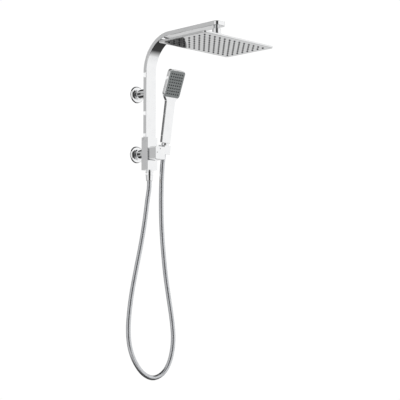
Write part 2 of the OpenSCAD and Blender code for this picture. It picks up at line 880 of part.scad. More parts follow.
module hose() {
    n = len(path);
    m = hose_sides;
    points = [for (i = [0 : n - 1]) each ring(i)];
    sides = [for (i = [0 : n - 2], k = [0 : m - 1])
        [i * m + k, i * m + (k + 1) % m, (i + 1) * m + (k + 1) % m, (i + 1) * m + k]];
    first = [for (k = [m - 1 : -1 : 0]) k];
    final = [for (k = [0 : m - 1]) (n - 1) * m + k];
    color("silver") polyhedron(points, concat(sides, [first, final]), convexity = 8);
}

// conical hose nut with its narrow end at the origin
module hose_nut() {
    difference() {
        nut_cone(0, 0, nut_len);
        translate([0, 0, ferrule_len]) rod(thread_r, nut_len);
        translate([0, 0, 1.5]) rod(thread_r - 2, nut_len);
        translate([0, 0, -1]) rod(hose_bore_r, nut_len);
    }
}

module ferrule() {
    translate([0, 0, 1.6]) pipe(thread_r - 2.2, hose_bore_r, ferrule_len - 1.8);
}

module lower_nut() {
    color(chrome) translate([0, -rail_out, lower_nut_end]) hose_nut();
}

module upper_nut() {
    color(chrome) held() hose_nut();
}

module hose_ferrules() {
    color(brass) translate([0, -rail_out, lower_nut_end]) ferrule();
}

module upper_ferrule() {
    color(brass) held() ferrule();
}

module lower_washer() {
    color(rubber) translate([0, -rail_out, lower_nut_end + ferrule_len]) pipe(thread_r - 0.3, hose_bore_r, 2);
}

module upper_washer() {
    color(rubber) held() translate([0, 0, ferrule_len]) pipe(thread_r - 0.3, hose_bore_r, 2);
}

// ---------- nodes ----------

riser_tube();
riser_foot();
riser_spigot();
spigot_seals();
riser_boss();
arm_nipple();
swivel_ball();
swivel_seal();
lower_ball_seat();
upper_ball_seat();
head_socket();
ball_nut();
head_shell();
spray_plate();
nozzle_mat();
head_rivets();
head_filter();
diverter_block();
cartridge_housing();
fixed_disc();
moving_disc();
spindle();
spindle_seal();
cartridge_nut();
knob();
knob_screw();
outlet_nipple();
inlet_tube();
inlet_seal();
inlet_sleeve();
inlet_cover();
inlet_washer();
inlet_filter();
check_valve();
bracket_core();
bracket_sleeve();
bracket_cover();
hanger_bolt();
grub_screws();
cradle();
cradle_liner();
cradle_stud();
handset_back();
handset_front();
handset_face();
handset_nozzles();
handset_tube();
handset_spigot();
flow_limiter();
handset_clips();
hose();
lower_nut();
upper_nut();
hose_ferrules();
lower_washer();
upper_washer();
upper_ferrule();
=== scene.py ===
# Rainfall shower column, chrome on brass: riser with a swept arm, rain head on a ball swivel,
# diverter block with a square knob, bar hand shower in its cradle, and a smooth hose.
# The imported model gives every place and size; this script gives the finished surfaces.
import json
import math

import bmesh
import bpy
from mathutils import Matrix, Vector
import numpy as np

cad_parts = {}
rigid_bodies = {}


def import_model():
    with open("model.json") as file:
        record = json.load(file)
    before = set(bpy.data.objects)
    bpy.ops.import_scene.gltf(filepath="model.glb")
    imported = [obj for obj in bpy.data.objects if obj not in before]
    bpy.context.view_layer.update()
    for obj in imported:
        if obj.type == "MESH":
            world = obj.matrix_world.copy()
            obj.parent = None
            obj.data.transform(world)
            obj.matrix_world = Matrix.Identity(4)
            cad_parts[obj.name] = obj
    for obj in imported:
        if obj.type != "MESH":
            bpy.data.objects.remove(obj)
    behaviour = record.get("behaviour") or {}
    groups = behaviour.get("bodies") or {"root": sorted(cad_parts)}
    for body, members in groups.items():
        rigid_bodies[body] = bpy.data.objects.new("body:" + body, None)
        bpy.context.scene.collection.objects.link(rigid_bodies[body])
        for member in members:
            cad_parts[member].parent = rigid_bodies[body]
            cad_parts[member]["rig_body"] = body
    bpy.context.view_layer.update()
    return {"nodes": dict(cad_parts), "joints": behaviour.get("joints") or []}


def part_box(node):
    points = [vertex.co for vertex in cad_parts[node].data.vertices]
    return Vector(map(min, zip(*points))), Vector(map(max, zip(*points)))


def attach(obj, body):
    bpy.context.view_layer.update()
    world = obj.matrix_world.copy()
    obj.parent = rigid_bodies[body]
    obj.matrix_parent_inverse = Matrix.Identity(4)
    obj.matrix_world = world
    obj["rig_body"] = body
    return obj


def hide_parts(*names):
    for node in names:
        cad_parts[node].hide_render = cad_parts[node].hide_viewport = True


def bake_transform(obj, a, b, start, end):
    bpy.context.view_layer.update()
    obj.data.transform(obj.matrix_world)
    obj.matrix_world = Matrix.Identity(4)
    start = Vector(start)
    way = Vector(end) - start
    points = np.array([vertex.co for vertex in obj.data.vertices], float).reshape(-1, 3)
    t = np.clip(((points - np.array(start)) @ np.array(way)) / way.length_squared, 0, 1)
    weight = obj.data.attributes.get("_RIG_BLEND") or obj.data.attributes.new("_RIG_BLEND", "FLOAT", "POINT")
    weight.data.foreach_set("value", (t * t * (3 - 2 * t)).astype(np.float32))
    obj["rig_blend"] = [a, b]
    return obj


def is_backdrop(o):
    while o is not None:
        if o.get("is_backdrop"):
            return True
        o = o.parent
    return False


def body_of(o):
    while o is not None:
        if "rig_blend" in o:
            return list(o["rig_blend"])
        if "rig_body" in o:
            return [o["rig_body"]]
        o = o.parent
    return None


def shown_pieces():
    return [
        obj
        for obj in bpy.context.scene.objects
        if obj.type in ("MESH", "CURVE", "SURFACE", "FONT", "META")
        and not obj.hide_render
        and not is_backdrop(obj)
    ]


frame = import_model()
mm = 0.001
joints = {j["name"]: j for j in frame["joints"]}
nodes = frame["nodes"]


# ---------------------------------------------------------------------------------------------
# Camera: stands at the left of the column, below the arm, and looks slightly up at it.
camera_place = Vector((-2.2621, -2.5173, -0.3941))
camera_heading = math.radians(45.41)
camera_rise = math.radians(4.22)
camera_lens = 95.17

camera_data = bpy.data.cameras.new("camera")
camera_data.lens = camera_lens
camera_data.sensor_width = 36
camera_data.dof.use_dof = False
camera = bpy.data.objects.new("camera", camera_data)
camera.location = camera_place
camera.rotation_euler = (math.radians(90) + camera_rise, 0, -camera_heading)
bpy.context.scene.collection.objects.link(camera)
bpy.context.scene.camera = camera


# ---------------------------------------------------------------------------------------------
# Studio: pale floor well below the hose, a soft tent with one dark panel beside the camera that
# draws the dark edges on the chrome, and three soft lamps for the dull pieces.
floor_z = -1.15
floor_r = 2.9
floor_colour = (0.86, 0.86, 0.85)
tent_bands = [            # direction round the column in degrees, brightness
    (-180, 0.55), (-131, 0.52), (-118, 0.52), (-104, 0.86), (-60, 0.86), (-10, 0.92), (40, 0.98), (80, 1.0),
    (112, 0.70), (150, 0.63), (180, 0.55),
]
panel_across = [          # direction, how dark the panel is there
    (-180, 0), (-69, 0), (-64, 1), (-50, 1), (-48, 0.76), (-43, 0.76), (-41, 1), (-13, 1), (-6, 0),
    (180, 0),
]
panel_up = [(-90, 0), (-19, 0), (-15, 1), (22, 1), (28, 0), (90, 0)]
panel_full = 1.015        # the tent shows this less the panel's darkness
tent_tops = [             # direction in degrees, height of the tent's upper edge there
    (-180, 30), (-172, 34), (-160, 44), (-128, 42), (-70, 40), (5, 50), (20, 58), (102, 58), (114, 9),
    (155, 9), (168, 24), (180, 30),
]
tent_edge = 7             # degrees over which the upper edge fades
tent_above = 0.02         # share of the brightness above it
plain_level = 1.02        # what the camera and dull surfaces see instead of the tent
tent_foot = [             # height in degrees, share of the brightness
    (-90, 0.04), (-43, 0.05), (-30, 0.90), (-12, 1.0), (90, 1.0),
]
foot_lift = [             # direction in degrees, how far the foot's edge is raised there
    (-180, 11), (-156, 11), (-146, 0), (-32, 0), (-24, 12), (8, 12), (18, 0), (166, 0), (176, 11),
    (180, 11),
]
lamps = [                 # place, size, power
    ((-1.6, -2.2, 2.2), 1.6, 12), ((2.2, -1.6, 1.0), 1.4, 8), ((0.5, 2.2, 0.6), 1.8, 6),
]
lamps_aim = Vector((0, -0.15, -0.1))


def add(tree, kind, **settings):
    """A new node; settings with an input's name fill it or link to it, others are properties."""
    node = tree.nodes.new(kind)
    for key, value in settings.items():
        label = key.replace("_", " ")
        if label not in node.inputs:
            setattr(node, key, value)
        elif isinstance(value, bpy.types.NodeSocket):
            tree.links.new(value, node.inputs[label])
        else:
            node.inputs[label].default_value = value
    return node


def maths(tree, operation, *values, clamp=False):
    node = tree.nodes.new("ShaderNodeMath")
    node.operation = operation
    node.use_clamp = clamp
    for slot, value in zip(node.inputs, values):
        if isinstance(value, (int, float)):
            slot.default_value = value
        else:
            tree.links.new(value, slot)
    return node.outputs[0]


def ramp(tree, value, stops, reach, unit=1):
    """Levels at (position, level) stops between -reach and reach, as parts of a unit."""
    fit_in = add(tree, "ShaderNodeMapRange", Value=value, From_Min=-reach, From_Max=reach)
    curve = tree.nodes.new("ShaderNodeValToRGB")
    elements = curve.color_ramp.elements
    while len(elements) < len(stops):
        elements.new(0.5)
    for element, (at, level) in zip(elements, stops):
        element.position = (at + reach) / (2 * reach)
    for element, (at, level) in zip(elements, stops):
        element.color = (level / unit, level / unit, level / unit, 1)
    tree.links.new(fit_in.outputs["Result"], curve.inputs["Fac"])
    return curve.outputs["Color"]


def tent_world():
    world = bpy.data.worlds.new("soft_tent")
    world.use_nodes = True
    tree = world.node_tree
    tree.nodes.clear()
    way = tree.nodes.new("ShaderNodeTexCoord").outputs["Generated"]
    way = add(tree, "ShaderNodeSeparateXYZ", Vector=way).outputs
    heading = maths(tree, "ARCTAN2", way["X"], maths(tree, "MULTIPLY", way["Y"], -1))
    heading = maths(tree, "DEGREES", heading)
    height = maths(tree, "DEGREES", maths(tree, "ARCSINE", way["Z"]))
    lowered = maths(tree, "MULTIPLY_ADD", ramp(tree, heading, foot_lift, 180, 90), -90, height)
    top = maths(tree, "MULTIPLY_ADD", ramp(tree, heading, tent_tops, 180, 90), 90, tent_edge / 2)
    fade = add(tree, "ShaderNodeMapRange", interpolation_type="SMOOTHSTEP", To_Min=tent_above,
               From_Max=tent_edge, Value=maths(tree, "SUBTRACT", top, height)).outputs["Result"]
    panel = maths(tree, "MULTIPLY", ramp(tree, heading, panel_across, 180), ramp(tree, height, panel_up, 90))
    light = ramp(tree, heading, tent_bands, 180)
    for share in (maths(tree, "SUBTRACT", panel_full, panel), ramp(tree, lowered, tent_foot, 90), fade):
        light = maths(tree, "MULTIPLY", light, share)
    seen = tree.nodes.new("ShaderNodeLightPath").outputs
    mixer = add(tree, "ShaderNodeMixShader",
                Fac=maths(tree, "MAXIMUM", seen["Is Camera Ray"], seen["Is Diffuse Ray"]))
    tent = add(tree, "ShaderNodeBackground", Color=light)
    plain = add(tree, "ShaderNodeBackground", Color=(1, 1, 1, 1), Strength=plain_level)
    tree.links.new(tent.outputs[0], mixer.inputs[1])
    tree.links.new(plain.outputs[0], mixer.inputs[2])
    add(tree, "ShaderNodeOutputWorld", Surface=mixer.outputs[0])
    return world


bpy.context.scene.world = tent_world()
bpy.context.scene.view_settings.view_transform = "Standard"
for i, (place, size, power) in enumerate(lamps):
    lamp = bpy.data.lights.new(f"softbox_{i + 1}", "AREA")
    lamp.shape = "SQUARE"
    lamp.size = size
    lamp.energy = power
    holder = bpy.data.objects.new(lamp.name, lamp)
    holder.location = place
    holder.rotation_euler = (lamps_aim - Vector(place)).to_track_quat("-Z", "Y").to_euler()
    holder.visible_glossy = False
    holder.visible_camera = False
    bpy.context.scene.collection.objects.link(holder)


def stage_paint(name, colour, roughness, glow=0.0):
    paint = bpy.data.materials.new(name)
    paint.use_nodes = True
    shader = paint.node_tree.nodes["Principled BSDF"]
    shader.inputs["Base Color"].default_value = (*colour, 1)
    shader.inputs["Roughness"].default_value = roughness
    shader.inputs["Emission Color"].default_value = (1, 1, 1, 1)
    shader.inputs["Emission Strength"].default_value = glow
    return paint


def stage_sheet(name, corners, paint, unseen_by):
    """A flat face of the studio that some kinds of rays pass by."""
    mesh = bpy.data.meshes.new(name)
    mesh.from_pydata(corners, [], [tuple(range(len(corners)))])
    mesh.materials.append(paint)
    sheet = bpy.data.objects.new(name, mesh)
    for ray in unseen_by:
        setattr(sheet, f"visible_{ray}", False)
    bpy.context.scene.collection.objects.link(sheet)
    sheet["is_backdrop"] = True


floor_rim = [(floor_r * math.cos(math.radians(a)), floor_r * math.sin(math.radians(a)), floor_z)
             for a in range(0, 360, 5)]
stage_sheet("floor", floor_rim, stage_paint("floor_paint", floor_colour, 0.7), ["glossy"])


# Cards seen only in mirrors, which paint reflections: a dark flag behind the column paints a dark reflection
# on the rain head's face, and at each wall cover two glowing cards above and below it paint light reflections
# and dark ones at its left and in front paint dark reflections.
flag_outline_mm = [
    (150, 206), (168, 180), (205, 168), (232, 166), (242, 175), (247, 182), (253, 192), (257, 202),
    (256, 208), (252, 211), (243, 214), (174, 211),
]
flag_y_mm = 30
covers_mm = [(0, -64), (194.5, -90)]    # height, end of the dark line at its left
white_gap_mm = 62                       # from the cover's middle
white_across_mm = (-80, 110)
white_deep_mm = (-70, -4)
side_across_mm = (-64, -38)
side_y_mm = 20
side_half_mm = 24                       # half of the card's height
line_half_mm = 6
front_across_mm = (-78, -15)
front_y_mm = -30
front_half_mm = 34
# Painted reflection: the black of cards seen only in mirrors, which paint dark reflections in the chrome.
painted_reflection_black = (0.05, 0.05, 0.05)


def one_way(paint):
    """Clears the back of a card, so that only rays that meet its front see it."""
    tree = paint.node_tree
    mixer = add(tree, "ShaderNodeMixShader",
                Fac=tree.nodes.new("ShaderNodeNewGeometry").outputs["Backfacing"])
    tree.links.new(tree.nodes["Principled BSDF"].outputs["BSDF"], mixer.inputs[1])
    tree.links.new(tree.nodes.new("ShaderNodeBsdfTransparent").outputs["BSDF"], mixer.inputs[2])
    tree.links.new(mixer.outputs["Shader"], tree.nodes["Material Output"].inputs["Surface"])
    return paint


def card(name, corners_mm, paint):
    stage_sheet(name, [Vector(c) * mm for c in corners_mm], paint, ["camera", "diffuse", "shadow"])


def upright_card(name, across, y, middle, half, paint):
    """An upright card that faces the wall."""
    left, right = across
    low, high = middle - half, middle + half
    card(name, [(right, y, low), (left, y, low), (left, y, high), (right, y, high)], paint)


# Paints of the cards; the dark flag paints a dark reflection on the rain head's face.
dark_reflection_paint = stage_paint("dark_reflection_paint", painted_reflection_black, 0.9)
one_way_dark_reflection_paint = one_way(stage_paint("one_way_dark_reflection_paint", painted_reflection_black, 0.9))
# The glowing card is no lamp: it lights nothing and paints light reflections in the chrome.
glowing_reflection_paint = stage_paint("glowing_reflection_paint", painted_reflection_black, 0.9, 0.95)
card("flag", [(x, flag_y_mm, z) for x, z in flag_outline_mm], dark_reflection_paint)
for i, (height, line_end) in enumerate(covers_mm):
    (x0, x1), (y0, y1) = white_across_mm, white_deep_mm
    for side in (-1, 1):
        # Two glowing cards above and below the cover paint light reflections on it.
        z = height + side * white_gap_mm
        card(f"light_reflection_card_{i}_{side}", [(x0, y0, z), (x1, y0, z), (x1, y1, z), (x0, y1, z)], glowing_reflection_paint)
    # Dark cards at the cover's left and in front paint dark reflections on it.
    upright_card(f"dark_side_{i}", side_across_mm, side_y_mm, height, side_half_mm, dark_reflection_paint)
    if line_end < side_across_mm[0]:
        upright_card(f"dark_line_{i}", (line_end, side_across_mm[0]), side_y_mm, height, line_half_mm,
                     dark_reflection_paint)
    upright_card(f"dark_front_{i}", front_across_mm, front_y_mm, height, front_half_mm, one_way_dark_reflection_paint)


# ---------------------------------------------------------------------------------------------
# Hose: smooth vinyl over silver foil, half-inch nuts on both ends. It leaves the nut under the
# block, hangs in one long loop and comes up into the hand shower's nut.
hose_d = 15 * mm
hose_route_mm = [
    (0, -62, -88), (-1, -62, -112), (-6, -60, -150), (-15, -57, -220), (-27, -53, -292),
    (-42, -48, -368), (-55, -44, -437), (-63, -41, -500), (-66, -40, -557), (-61, -42, -608),
    (-45, -47, -653), (-19, -56, -690), (13, -66, -706), (44, -76, -695), (65, -84, -665),
    (77, -88, -622), (80, -89, -575), (75, -87, -520), (65, -84, -457), (56, -80, -392),
    (49, -78, -330), (43, -76, -258), (40, -75, -185), (41, -74, -110), (44, -75, -40), (45, -81, 4),
]
hose_route = [Vector(p) * mm for p in hose_route_mm]
hose_sides = 28
hose_steps = 22
foil_pitch = 5.2 * mm
foil_rise = 0.06 * mm
held_axis = Vector(joints["handset_lift"]["axis"]).normalized()
held_foot = Vector(joints["handset_turn"]["pos_m"])


def through(points, steps):
    """A smooth line through the points, with that many steps between each two."""
    line = []
    last = len(points) - 1
    for i in range(last):
        a, b, c, d = (points[min(max(k, 0), last)] for k in (i - 1, i, i + 1, i + 2))
        for s in range(steps):
            t = s / steps
            line.append(0.5 * (2 * b + (c - a) * t + (2 * a - 5 * b + 4 * c - d) * t**2
                               + (3 * b - a - 3 * c + d) * t**3))
    line.append(points[last].copy())
    return line


def new_piece(name, bm, smooth=35):
    """The mesh as a piece at the origin, smooth but for edges sharper than that angle."""
    mesh = bpy.data.meshes.new(name)
    bm.to_mesh(mesh)
    bm.free()
    mesh.shade_smooth()
    mesh.set_sharp_from_angle(angle=math.radians(smooth))
    piece = bpy.data.objects.new(name, mesh)
    bpy.context.scene.collection.objects.link(piece)
    return piece


hose_line = through(hose_route, hose_steps)
hose_along = [0.0]
for p, q in zip(hose_line, hose_line[1:]):
    hose_along.append(hose_along[-1] + (q - p).length)
hose_side = Vector((15, 45, 0)).normalized()


def hose_mesh():
    """Tube along the line with the foil's faint winding; its UV is tenths of metres and turns."""
    bm = bmesh.new()
    uv = bm.loops.layers.uv.new("winding")
    rings = []
    last = len(hose_line) - 1
    for i, (p, s) in enumerate(zip(hose_line, hose_along)):
        if i == 0:
            t = Vector((0, 0, -1))
        elif i == last:
            t = held_axis.copy()
        else:
            t = (hose_line[i + 1] - hose_line[i - 1]).normalized()
        b = t.cross(hose_side).normalized()
        n = b.cross(t)
        ring = []
        for k in range(hose_sides):
            turn = k / hose_sides
            phase = s / foil_pitch - turn
            r = hose_d / 2 + foil_rise * (math.cos(2 * math.pi * phase) - 1) / 2
            a = 2 * math.pi * turn
            ring.append(bm.verts.new(p + r * (math.cos(a) * n + math.sin(a) * b)))
        rings.append(ring)
    for i in range(last):
        for k in range(hose_sides):
            k2 = (k + 1) % hose_sides
            face = bm.faces.new((rings[i][k], rings[i][k2], rings[i + 1][k2], rings[i + 1][k]))
            for loop, (di, dk) in zip(face.loops, ((0, 0), (0, 1), (1, 1), (1, 0))):
                loop[uv].uv = (hose_along[i + di] * 10, (k + dk) / hose_sides)
    bm.faces.new(list(reversed(rings[0])))
    bm.faces.new(rings[-1])
    bmesh.ops.recalc_face_normals(bm, faces=bm.faces)
    return new_piece("smooth_hose", bm, 60)


# One effect that every plated, cast and moulded surface shares: smudges from handling, a slight
# orange peel left by polishing, and fine wiping marks.
def spread(tree, value, low, high, to_low, to_high):
    """Maps a value's range to another range, held at the ends."""
    return add(tree, "ShaderNodeMapRange", interpolation_type="SMOOTHSTEP", Value=value, From_Min=low,
               From_Max=high, To_Min=to_low, To_Max=to_high).outputs[0]


def noise(tree, vector, scale, detail=4.0, rough=0.5):
    return add(tree, "ShaderNodeTexNoise", Vector=vector, Scale=scale, Detail=detail,
               Roughness=rough).outputs["Fac"]


def build_handling():
    group = bpy.data.node_groups.new("handling", "ShaderNodeTree")
    for label, kind, value in (("Vector", "Vector", (0, 0, 0)), ("Smudge", "Float", 0.05),
                               ("Gloss", "Float", 0.05), ("Dust", "Float", 0.02)):
        socket = group.interface.new_socket(label, in_out="INPUT", socket_type="NodeSocket" + kind)
        socket.default_value = value
    for label in ("Roughness", "Tint", "Height"):
        group.interface.new_socket(label, in_out="OUTPUT", socket_type="NodeSocketFloat")
    given = group.nodes.new("NodeGroupInput").outputs
    place = given["Vector"]
    streaks = add(group, "ShaderNodeMapping", Vector=place, Scale=(900, 900, 60)).outputs["Vector"]
    film = spread(group, noise(group, place, 22, 5, 0.6), 0.42, 0.68, 0, 1)
    wiped = spread(group, noise(group, streaks, 1, 3), 0.55, 0.75, 0, 1)
    specks = spread(group, noise(group, place, 1400, 2), 0.66, 0.74, 0, 1)
    smudge = maths(group, "MULTIPLY", film, given["Smudge"])
    marks = maths(group, "MULTIPLY", wiped, maths(group, "MULTIPLY", given["Smudge"], 0.4))
    dust = maths(group, "MULTIPLY", specks, given["Dust"])
    rough = maths(group, "ADD", given["Gloss"], maths(group, "ADD", smudge, marks))
    add(group, "NodeGroupOutput", Roughness=maths(group, "ADD", rough, dust, clamp=True),
        Tint=maths(group, "ADD", maths(group, "MULTIPLY", smudge, 0.5), dust),
        Height=maths(group, "ADD", noise(group, place, 160, 3), maths(group, "MULTIPLY", wiped, 0.04)))
    return group


handling = build_handling()


def surface(name, colour, deep, gloss, smudge, dust, bump, metallic=0.0, coat=0.0, ior=1.5):
    """A finish whose colour drifts towards deep, with the handling group's smudges and texture."""
    material = bpy.data.materials.new(name)
    material.use_nodes = True
    tree = material.node_tree
    shader = tree.nodes["Principled BSDF"]
    place = tree.nodes.new("ShaderNodeTexCoord").outputs["Object"]
    marks = add(tree, "ShaderNodeGroup", node_tree=handling)
    tree.links.new(place, marks.inputs["Vector"])
    for node, label, value in (
            (shader, "Metallic", metallic), (shader, "Coat Weight", coat), (shader, "Coat Roughness", 0.05),
            (shader, "IOR", ior), (marks, "Smudge", smudge), (marks, "Gloss", gloss), (marks, "Dust", dust)):
        node.inputs[label].default_value = value
    drift = spread(tree, noise(tree, place, 45, 4), 0.3, 0.7, 0, 0.6)
    blend = add(tree, "ShaderNodeMix", data_type="RGBA", A=(*colour, 1), B=(*deep, 1),
                Factor=maths(tree, "ADD", drift, marks.outputs["Tint"], clamp=True))
    relief = add(tree, "ShaderNodeBump", Strength=1.0, Distance=bump, Height=marks.outputs["Height"])
    tree.links.new(blend.outputs["Result"], shader.inputs["Base Color"])
    tree.links.new(marks.outputs["Roughness"], shader.inputs["Roughness"])
    tree.links.new(relief.outputs["Normal"], shader.inputs["Normal"])
    return material


def foil_material():
    """Silver foil wound on the hose, seen through clear vinyl."""
    material = surface("silver_foil", (0.60, 0.61, 0.63), (0.50, 0.51, 0.53), 0.16, 0.05, 0.02, 2e-6,
                       metallic=0.9, coat=1.0)
    tree = material.node_tree
    shader = tree.nodes["Principled BSDF"].inputs
    place = add(tree, "ShaderNodeUVMap", uv_map="winding").outputs["UV"]
    place = add(tree, "ShaderNodeSeparateXYZ", Vector=place).outputs
    turns = maths(tree, "MULTIPLY", place["X"], 0.1 / foil_pitch)
    phase = maths(tree, "FRACT", maths(tree, "SUBTRACT", turns, place["Y"]))
    seam = spread(tree, maths(tree, "ABSOLUTE", maths(tree, "SUBTRACT", phase, 0.5)), 0.0, 0.12, 0.22, 0.0)
    dark = add(tree, "ShaderNodeMix", data_type="RGBA", Factor=seam, B=(0.30, 0.31, 0.33, 1),
               A=shader["Base Color"].links[0].from_socket)
    rough = maths(tree, "ADD", shader["Roughness"].links[0].from_socket, seam, clamp=True)
    tree.links.new(dark.outputs["Result"], shader["Base Color"])
    tree.links.new(rough, shader["Roughness"])
    return material


hose = hose_mesh()
hose.data.materials.append(foil_material())
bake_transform(hose, "root", "hose_end", start=(0.0078, -0.07, -0.088), end=(0.0430, -0.07, -0.0836))
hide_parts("hose")


# ---------------------------------------------------------------------------------------------
# Hose nuts: turned brass, plated, coned to seat in the cradle, with a collar at the wide end and
# a rolled lip round the hose. Ferrules and washers stay as packed inside them.
chrome = surface("chrome_plate", (0.90, 0.905, 0.91), (0.86, 0.865, 0.875), 0.035, 0.05, 0.03, 3e-6,
                 metallic=1.0)
nut_segments = 96


def finish_surface(bm):
    """Closes seams and poles and turns every face outwards."""
    bmesh.ops.remove_doubles(bm, verts=bm.verts, dist=2e-6)
    bmesh.ops.dissolve_degenerate(bm, edges=bm.edges, dist=1e-6)
    loose = [e for e in bm.edges if not e.link_faces]
    bmesh.ops.delete(bm, geom=loose, context="EDGES")
    bmesh.ops.recalc_face_normals(bm, faces=bm.faces)


def skin(bm, loops, closed=True):
    """Faces between each two neighbouring loops of vertices."""
    count = len(loops[0])
    for low, high in zip(loops, loops[1:]):
        for k in range(count if closed else count - 1):
            k2 = (k + 1) % count
            bm.faces.new((low[k], low[k2], high[k2], high[k]))


def lathe(name, outline, foot, axis, segments=nut_segments, smooth=35):
    """Turns an outline of (radius, height) points about an axis through foot."""
    up = Vector(axis).normalized()
    side = up.orthogonal().normalized()
    other = up.cross(side)
    bm = bmesh.new()
    rings = []
    for r, h in outline:
        centre = Vector(foot) + up * h
        rings.append([bm.verts.new(centre + r * (math.cos(a) * side + math.sin(a) * other))
                      for a in (2 * math.pi * k / segments for k in range(segments))])
    skin(bm, rings + rings[:1])
    finish_surface(bm)
    return new_piece(name, bm, smooth)


def on_circle(centre_r, centre_h, radius, angles):
    """Outline points at those angles, in degrees from the outward direction."""
    return [(centre_r + radius * math.cos(a), centre_h + radius * math.sin(a))
            for a in map(math.radians, angles)]


def arc(centre_r, centre_h, radius, start, end, steps=6):
    angles = [start + (end - start) * k / steps for k in range(steps + 1)]
    return on_circle(centre_r, centre_h, radius, angles)


def dress(piece, node, body="root", finish=chrome):
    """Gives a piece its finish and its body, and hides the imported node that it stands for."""
    if finish:
        piece.data.materials.clear()
        piece.data.materials.append(finish)
    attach(piece, body)
    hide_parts(node)
    return piece


def hose_nut_outline(tip, wide, length, bore):
    """From the narrow end's lip up the cone to the collar and down the inside."""
    lip = 1.2 * mm
    collar = 5.0 * mm
    groove = 0.5 * mm
    edge = 0.7 * mm
    slope = (wide - tip) / length
    at = lambda h: tip + slope * h
    outline = [(bore, 0.3 * mm), (bore + 0.3 * mm, 0)]
    outline += arc(tip - lip, lip, lip, -90, 0)
    outline += [(at(length - collar - groove), length - collar - groove)]
    outline += [(at(length - collar) - groove, length - collar - groove * 0.6)]
    outline += [(at(length - collar) - groove, length - collar - groove * 0.2)]
    outline += [(at(length - collar), length - collar + groove * 0.3)]
    outline += arc(wide - edge, length - edge, edge, 0, 90)
    outline += [(bore + 4.4 * mm, length), (bore + 4.4 * mm, length - 12 * mm), (bore, length - 14 * mm)]
    return outline


nut_low, nut_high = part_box("lower_nut")
nut_wide = (nut_high - nut_low).x / 2
nut_tip = 10.2 * mm
nut_bore = hose_d / 2 + 0.15 * mm
nut_middle = (nut_low + nut_high) / 2
nut_length = (nut_high - nut_low).z
nut_outline = hose_nut_outline(nut_tip, nut_wide, nut_length, nut_bore)
nut_foot = (0, nut_middle.y, nut_middle.z - nut_length / 2)
lower_nut = dress(lathe("lower_hose_nut", nut_outline, nut_foot, (0, 0, 1)), "lower_nut")
upper_nut = dress(lathe("upper_hose_nut", nut_outline, held_foot, held_axis), "upper_nut", "hose_end")


# ---------------------------------------------------------------------------------------------
# Riser: one flat brass tube, swept forward at the top and closed with a round end, then polished
# and plated. Its foot is brazed in and stands in the block's slot.
riser_low, riser_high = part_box("riser_tube")
foot_low, foot_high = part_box("riser_foot")
rail_w = riser_high.x - riser_low.x
rail_t = foot_high.y - foot_low.y
rail_y = (foot_high.y + foot_low.y) / 2
rail_edge = 1.5 * mm
tip_corner = 14 * mm
bend_r = 107.5 * mm
arm_z = riser_high.z - rail_t / 2
arm_end = riser_low.y + tip_corner
bend_y = rail_y - bend_r
bend_z = arm_z - bend_r
bend_steps = 64
tip_steps = 40


def rounded_outline(w, h, r, steps=8, middles=False):
    """Points round a rectangle with round corners, from the middle of its right side."""
    points = []
    for sx, sy, start in ((1, 1, 0), (-1, 1, 90), (-1, -1, 180), (1, -1, 270)):
        if middles and start in (90, 270):
            points.append((0.0, sy * h / 2))
        for k in range(steps + 1):
            a = math.radians(start + 90 * k / steps)
            points.append((sx * (w / 2 - r) + r * math.cos(a), sy * (h / 2 - r) + r * math.sin(a)))
    return points


def riser_mesh():
    section = rounded_outline(rail_w, rail_t, rail_edge, middles=True)
    rings = []
    for z in (riser_low.z, riser_low.z + 1 * mm, bend_z - 1 * mm):
        rings.append([Vector((x, rail_y - t, z)) for x, t in section])
    for k in range(bend_steps + 1):
        a = math.radians(90 * k / bend_steps)
        out = Vector((0, -math.cos(a), -math.sin(a)))
        middle = Vector((0, bend_y, bend_z)) - out * bend_r
        rings.append([middle + Vector((x, 0, 0)) + out * t for x, t in section])
    for y in (bend_y - 1 * mm, arm_end + 1 * mm, arm_end):
        rings.append([Vector((x, y, arm_z - t)) for x, t in section])
    bm = bmesh.new()
    loops = [[bm.verts.new(p) for p in ring] for ring in rings]
    skin(bm, loops)
    bm.faces.new(loops[0])
    half = sorted((p for p in section if p[0] >= -1e-9), key=lambda p: math.atan2(p[1], p[0]))
    corner_x = rail_w / 2 - tip_corner
    turned = []
    for k in range(tip_steps + 1):
        a = math.pi * k / tip_steps
        ring = []
        for x, t in half:
            reach = max(x - corner_x, 0)
            inner = min(x, corner_x)
            side = inner if 2 * k < tip_steps else -inner
            ring.append(bm.verts.new((side + reach * math.cos(a), arm_end - reach * math.sin(a), arm_z - t)))
        turned.append(ring)
        if 2 * k == tip_steps:
            middle = [bm.verts.new((min(x, corner_x), arm_end - max(x - corner_x, 0), arm_z - t))
                      for x, t in half]
            turned.insert(len(turned) - 1, middle)
    skin(bm, turned, closed=False)
    finish_surface(bm)
    return new_piece("flat_riser", bm, 35)


def weighted(piece):
    """Lets large flat faces keep their own normals beside rounded edges."""
    modifier = piece.modifiers.new("flats", "WEIGHTED_NORMAL")
    modifier.keep_sharp = True
    modifier.weight = 90
    return piece


dress(weighted(riser_mesh()), "riser_tube")


edge_angle = 30           # degrees; sharper edges are eased


def finished_copy(node, name, bevel, finish=chrome):
    """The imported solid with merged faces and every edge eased, as plated parts have."""
    bm = bmesh.new()
    bm.from_mesh(nodes[node].data)
    bmesh.ops.remove_doubles(bm, verts=bm.verts, dist=5e-6)
    bmesh.ops.dissolve_limit(bm, angle_limit=math.radians(0.6), verts=bm.verts, edges=bm.edges)
    piece = new_piece(name, bm, edge_angle)
    modifier = piece.modifiers.new("eased_edges", "BEVEL")
    modifier.width = bevel
    modifier.segments = 3
    modifier.limit_method = "ANGLE"
    modifier.angle_limit = math.radians(edge_angle)
    modifier.harden_normals = False
    dress(weighted(piece), node, finish=finish)


finished_copy("riser_foot", "riser_foot_plug", 0.3 * mm)


